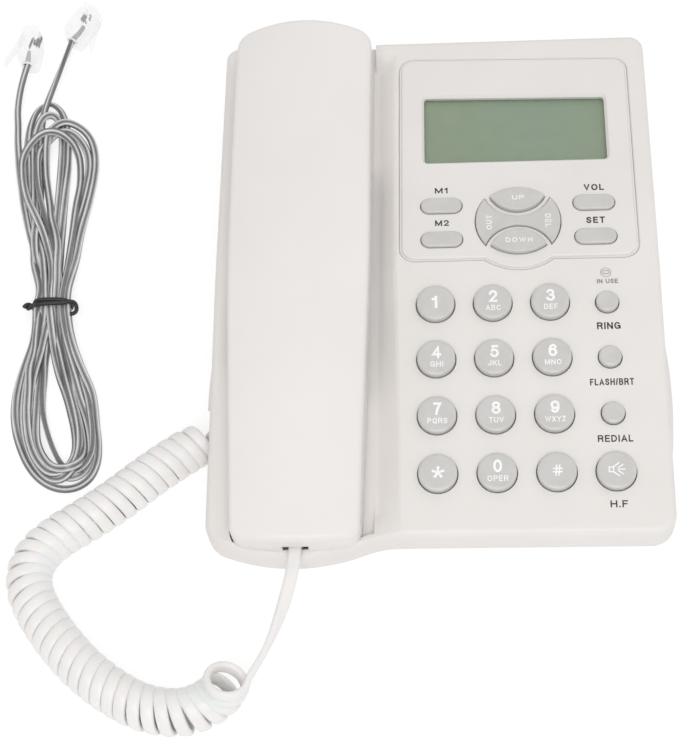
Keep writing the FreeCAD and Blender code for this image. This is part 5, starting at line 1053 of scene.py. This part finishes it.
LETTERS = {"2": ("ABC", 5.0), "3": ("DEF", 4.5), "4": ("GHI", 4.3), "5": ("JKL", 4.5), "6": ("MNO", 5.4), "7": ("PQRS", 6.5), "8": ("TUV", 4.8), "9": ("WXYZ", 6.6), "0": ("OPER", 6.7)}
DIGIT_W = {"1": 1.9, "2": 2.85, "3": 2.85, "4": 3.05, "5": 2.8, "6": 2.85, "7": 2.7, "8": 2.95, "9": 2.9, "0": 2.85}
for r, names in enumerate((("1", "2", "3"), ("4", "5", "6"), ("7", "8", "9"), ("star", "0", "hash"))):
    for c, s in enumerate(names):
        u, v = (-19.0, 0.0, 19.0)[c], ROW[r]
        if s == "1":
            art = [(glyphs("1", 2.1, 4.5, 0.19), -0.2, 0.1)]
        elif s == "star":
            star = []
            for k in range(5):
                a = math.radians(90 + 72 * k)
                d = Vector((math.cos(a), math.sin(a)))
                e = Vector((-d.y, d.x))
                star.append([tuple(d * 0.1 - e * 0.3), tuple(d * 2.05 - e * 0.48), tuple(d * 2.05 + e * 0.48), tuple(d * 0.1 + e * 0.3)])
            art = [(plate(star), 0.1, -0.1)]
        elif s == "hash":
            art = [(glyphs("#", 3.2, 3.8, 0.12), 0.2, 0.1)]
        else:
            word, wide = LETTERS[s]
            art = [(glyphs(s, DIGIT_W[s], 4.3, 0.18), 0.15, 1.85), (glyphs(word, wide, 1.95, 0.155, 0.2), 0.15, -2.35)]
        key_label("key_" + s, u, v, art)
speaker = [
    [(-2.5, -1.0), (-1.15, -1.0), (-1.15, -0.6), (-2.1, -0.6), (-2.1, 0.6), (-1.15, 0.6), (-1.15, 1.0), (-2.5, 1.0)],
    [(-1.15, -1.0), (1.05, -2.6), (1.05, -2.05), (-0.75, -0.72), (-0.75, 0.72), (1.05, 2.05), (1.05, 2.6), (-1.15, 1.0)],
    [(0.45, -0.2), (2.8, -0.2), (2.8, 0.2), (0.45, 0.2)],
    [(0.35, 0.62), (0.6, 0.3), (2.3, 1.5), (2.1, 1.85)],
    [(0.35, -0.62), (2.1, -1.85), (2.3, -1.5), (0.6, -0.3)],
]
key_label("key_handsfree", 37.83, -29.97, [(plate(speaker), -0.1, 0.1)])

PANEL_MID, NAV_Y = 28.25, 20.413
panel_art = []
for text, x, y, w, h in (("M1", 2.3, 33.4, 4.5, 2.25), ("M2", 2.35, 20.25, 4.7, 2.3), ("VOL", 54.4, 33.3, 6.8, 2.5), ("SET", 54.3, 20.1, 6.3, 2.5)):
    panel_art.append(lay_on(glyphs(text, w, h, 0.2, 0.2), "display_bezel", x, y, PANEL_SLOPE))
artwork("print_panel", panel_art, "print_dark", "base")
artwork("print_key_up", [lay_on(glyphs("UP", 4.1, 1.8, 0.17, 0.22), "key_up", 28.4, 28.75, PANEL_SLOPE)], "print_white", "key_up")
artwork("print_key_down", [lay_on(glyphs("DOWN", 9.0, 1.9, 0.16, 0.3), "key_down", 28.2, 11.85, PANEL_SLOPE)], "print_white", "key_down")
artwork(
    "print_key_out_del",
    [
        lay_on(glyphs("OUT", 1.9, 5.7, 0.17, 0.24, 1), "key_out_del", 18.3, 19.5, PANEL_SLOPE),
        lay_on(glyphs("DEL", 1.9, 5.4, 0.17, 0.24, -1), "key_out_del", 38.3, 19.7, PANEL_SLOPE),
    ],
    "print_white",
    "key_out_del",
)
case_art = []
for text, x, y, w, h, b in (
    ("RING", 56.75, -19.5, 7.7, 2.5, 0.19),
    ("FLASH/BRT", 56.8, -39.4, 14.2, 2.35, 0.17),
    ("REDIAL", 56.95, -58.95, 11.3, 2.35, 0.18),
    ("H.F", 57.0, -80.9, 5.5, 2.35, 0.18),
):
    case_art.append(lay_on(glyphs(text, w, h, b, 0.17), "base_upper_shell", x, y, KEY_SLOPE))
artwork("print_case", case_art, "print_dark", "base")
artwork("print_in_use", [lay_on(glyphs("IN USE", 7.0, 1.6, 0.17, 0.17), "base_upper_shell", 57.1, -3.3, KEY_SLOPE)], "print_grey", "base")
lamp_mark = bmesh.new()
ribbon(lamp_mark, [(-1.05, -0.25), (-0.78, 0.55), (0.78, 0.55), (1.05, -0.25), (0.62, -0.68), (-0.62, -0.68)], 0.12, True)
bmesh.ops.recalc_face_normals(lamp_mark, faces=lamp_mark.faces)
artwork("print_lamp", [lay_on(lamp_mark, "in_use_lens", 56.7, -0.15, KEY_SLOPE)], "print_pale", "base")

# ------------------------------------------------------------------ floor, light
floor_mesh = bpy.data.meshes.new("floor")
floor_mesh.from_pydata([(-6, -6, 0), (6, -6, 0), (6, 6, 0), (-6, 6, 0)], [], [(0, 1, 2, 3)])
floor = bpy.data.objects.new("floor", floor_mesh)
scene.collection.objects.link(floor)
floor.location.z = -0.0002
floor_mat = moulded("floor_white", (0.33, 0.33, 0.33), (0.35, 0.35, 0.35), (0.8, 0.9), 3.0, 900.0, 0.0)
glow = floor_mat.node_tree.nodes["Principled BSDF"]
glow.inputs["Emission Color"].default_value = (1, 1, 1, 1)
glow.inputs["Emission Strength"].default_value = 0.7
glow.inputs["Specular IOR Level"].default_value = 0.0
floor_mesh.materials.append(floor_mat)

world = bpy.data.worlds.new("world")
scene.world = world
world.use_nodes = True
world.node_tree.nodes["Background"].inputs["Color"].default_value = (1.0, 0.995, 0.985, 1)
world.node_tree.nodes["Background"].inputs["Strength"].default_value = 0.55


def area(name, place, target, size, power, color=(1, 1, 1)):
    d = bpy.data.lights.new(name, "AREA")
    d.shape = "RECTANGLE"
    d.size, d.size_y = size
    d.energy = power
    d.color = color
    o = bpy.data.objects.new(name, d)
    scene.collection.objects.link(o)
    o.location = place
    o.rotation_mode = "QUATERNION"
    o.rotation_quaternion = (Vector(target) - Vector(place)).to_track_quat("-Z", "Y")
    return o


area("key_light", (1.3, 0.5, 1.5), (0, 0, 0), (1.6, 1.4), 5.0)
area("rear_light", (0.0, 1.6, 1.3), (0, 0, 0), (1.6, 0.9), 3.0)
area("front_top_light", (0.03, -1.05, 1.7), (0, 0, 0), (1.3, 1.0), 17.0)
area("left_light", (-1.6, -0.1, 1.2), (0, 0, 0), (1.0, 1.4), 2.0)
area("front_light", (0.2, -1.6, 0.9), (0, 0, 0), (1.8, 1.0), 1.5)
scene.view_settings.view_transform = "Standard"
scene.view_settings.look = "None"
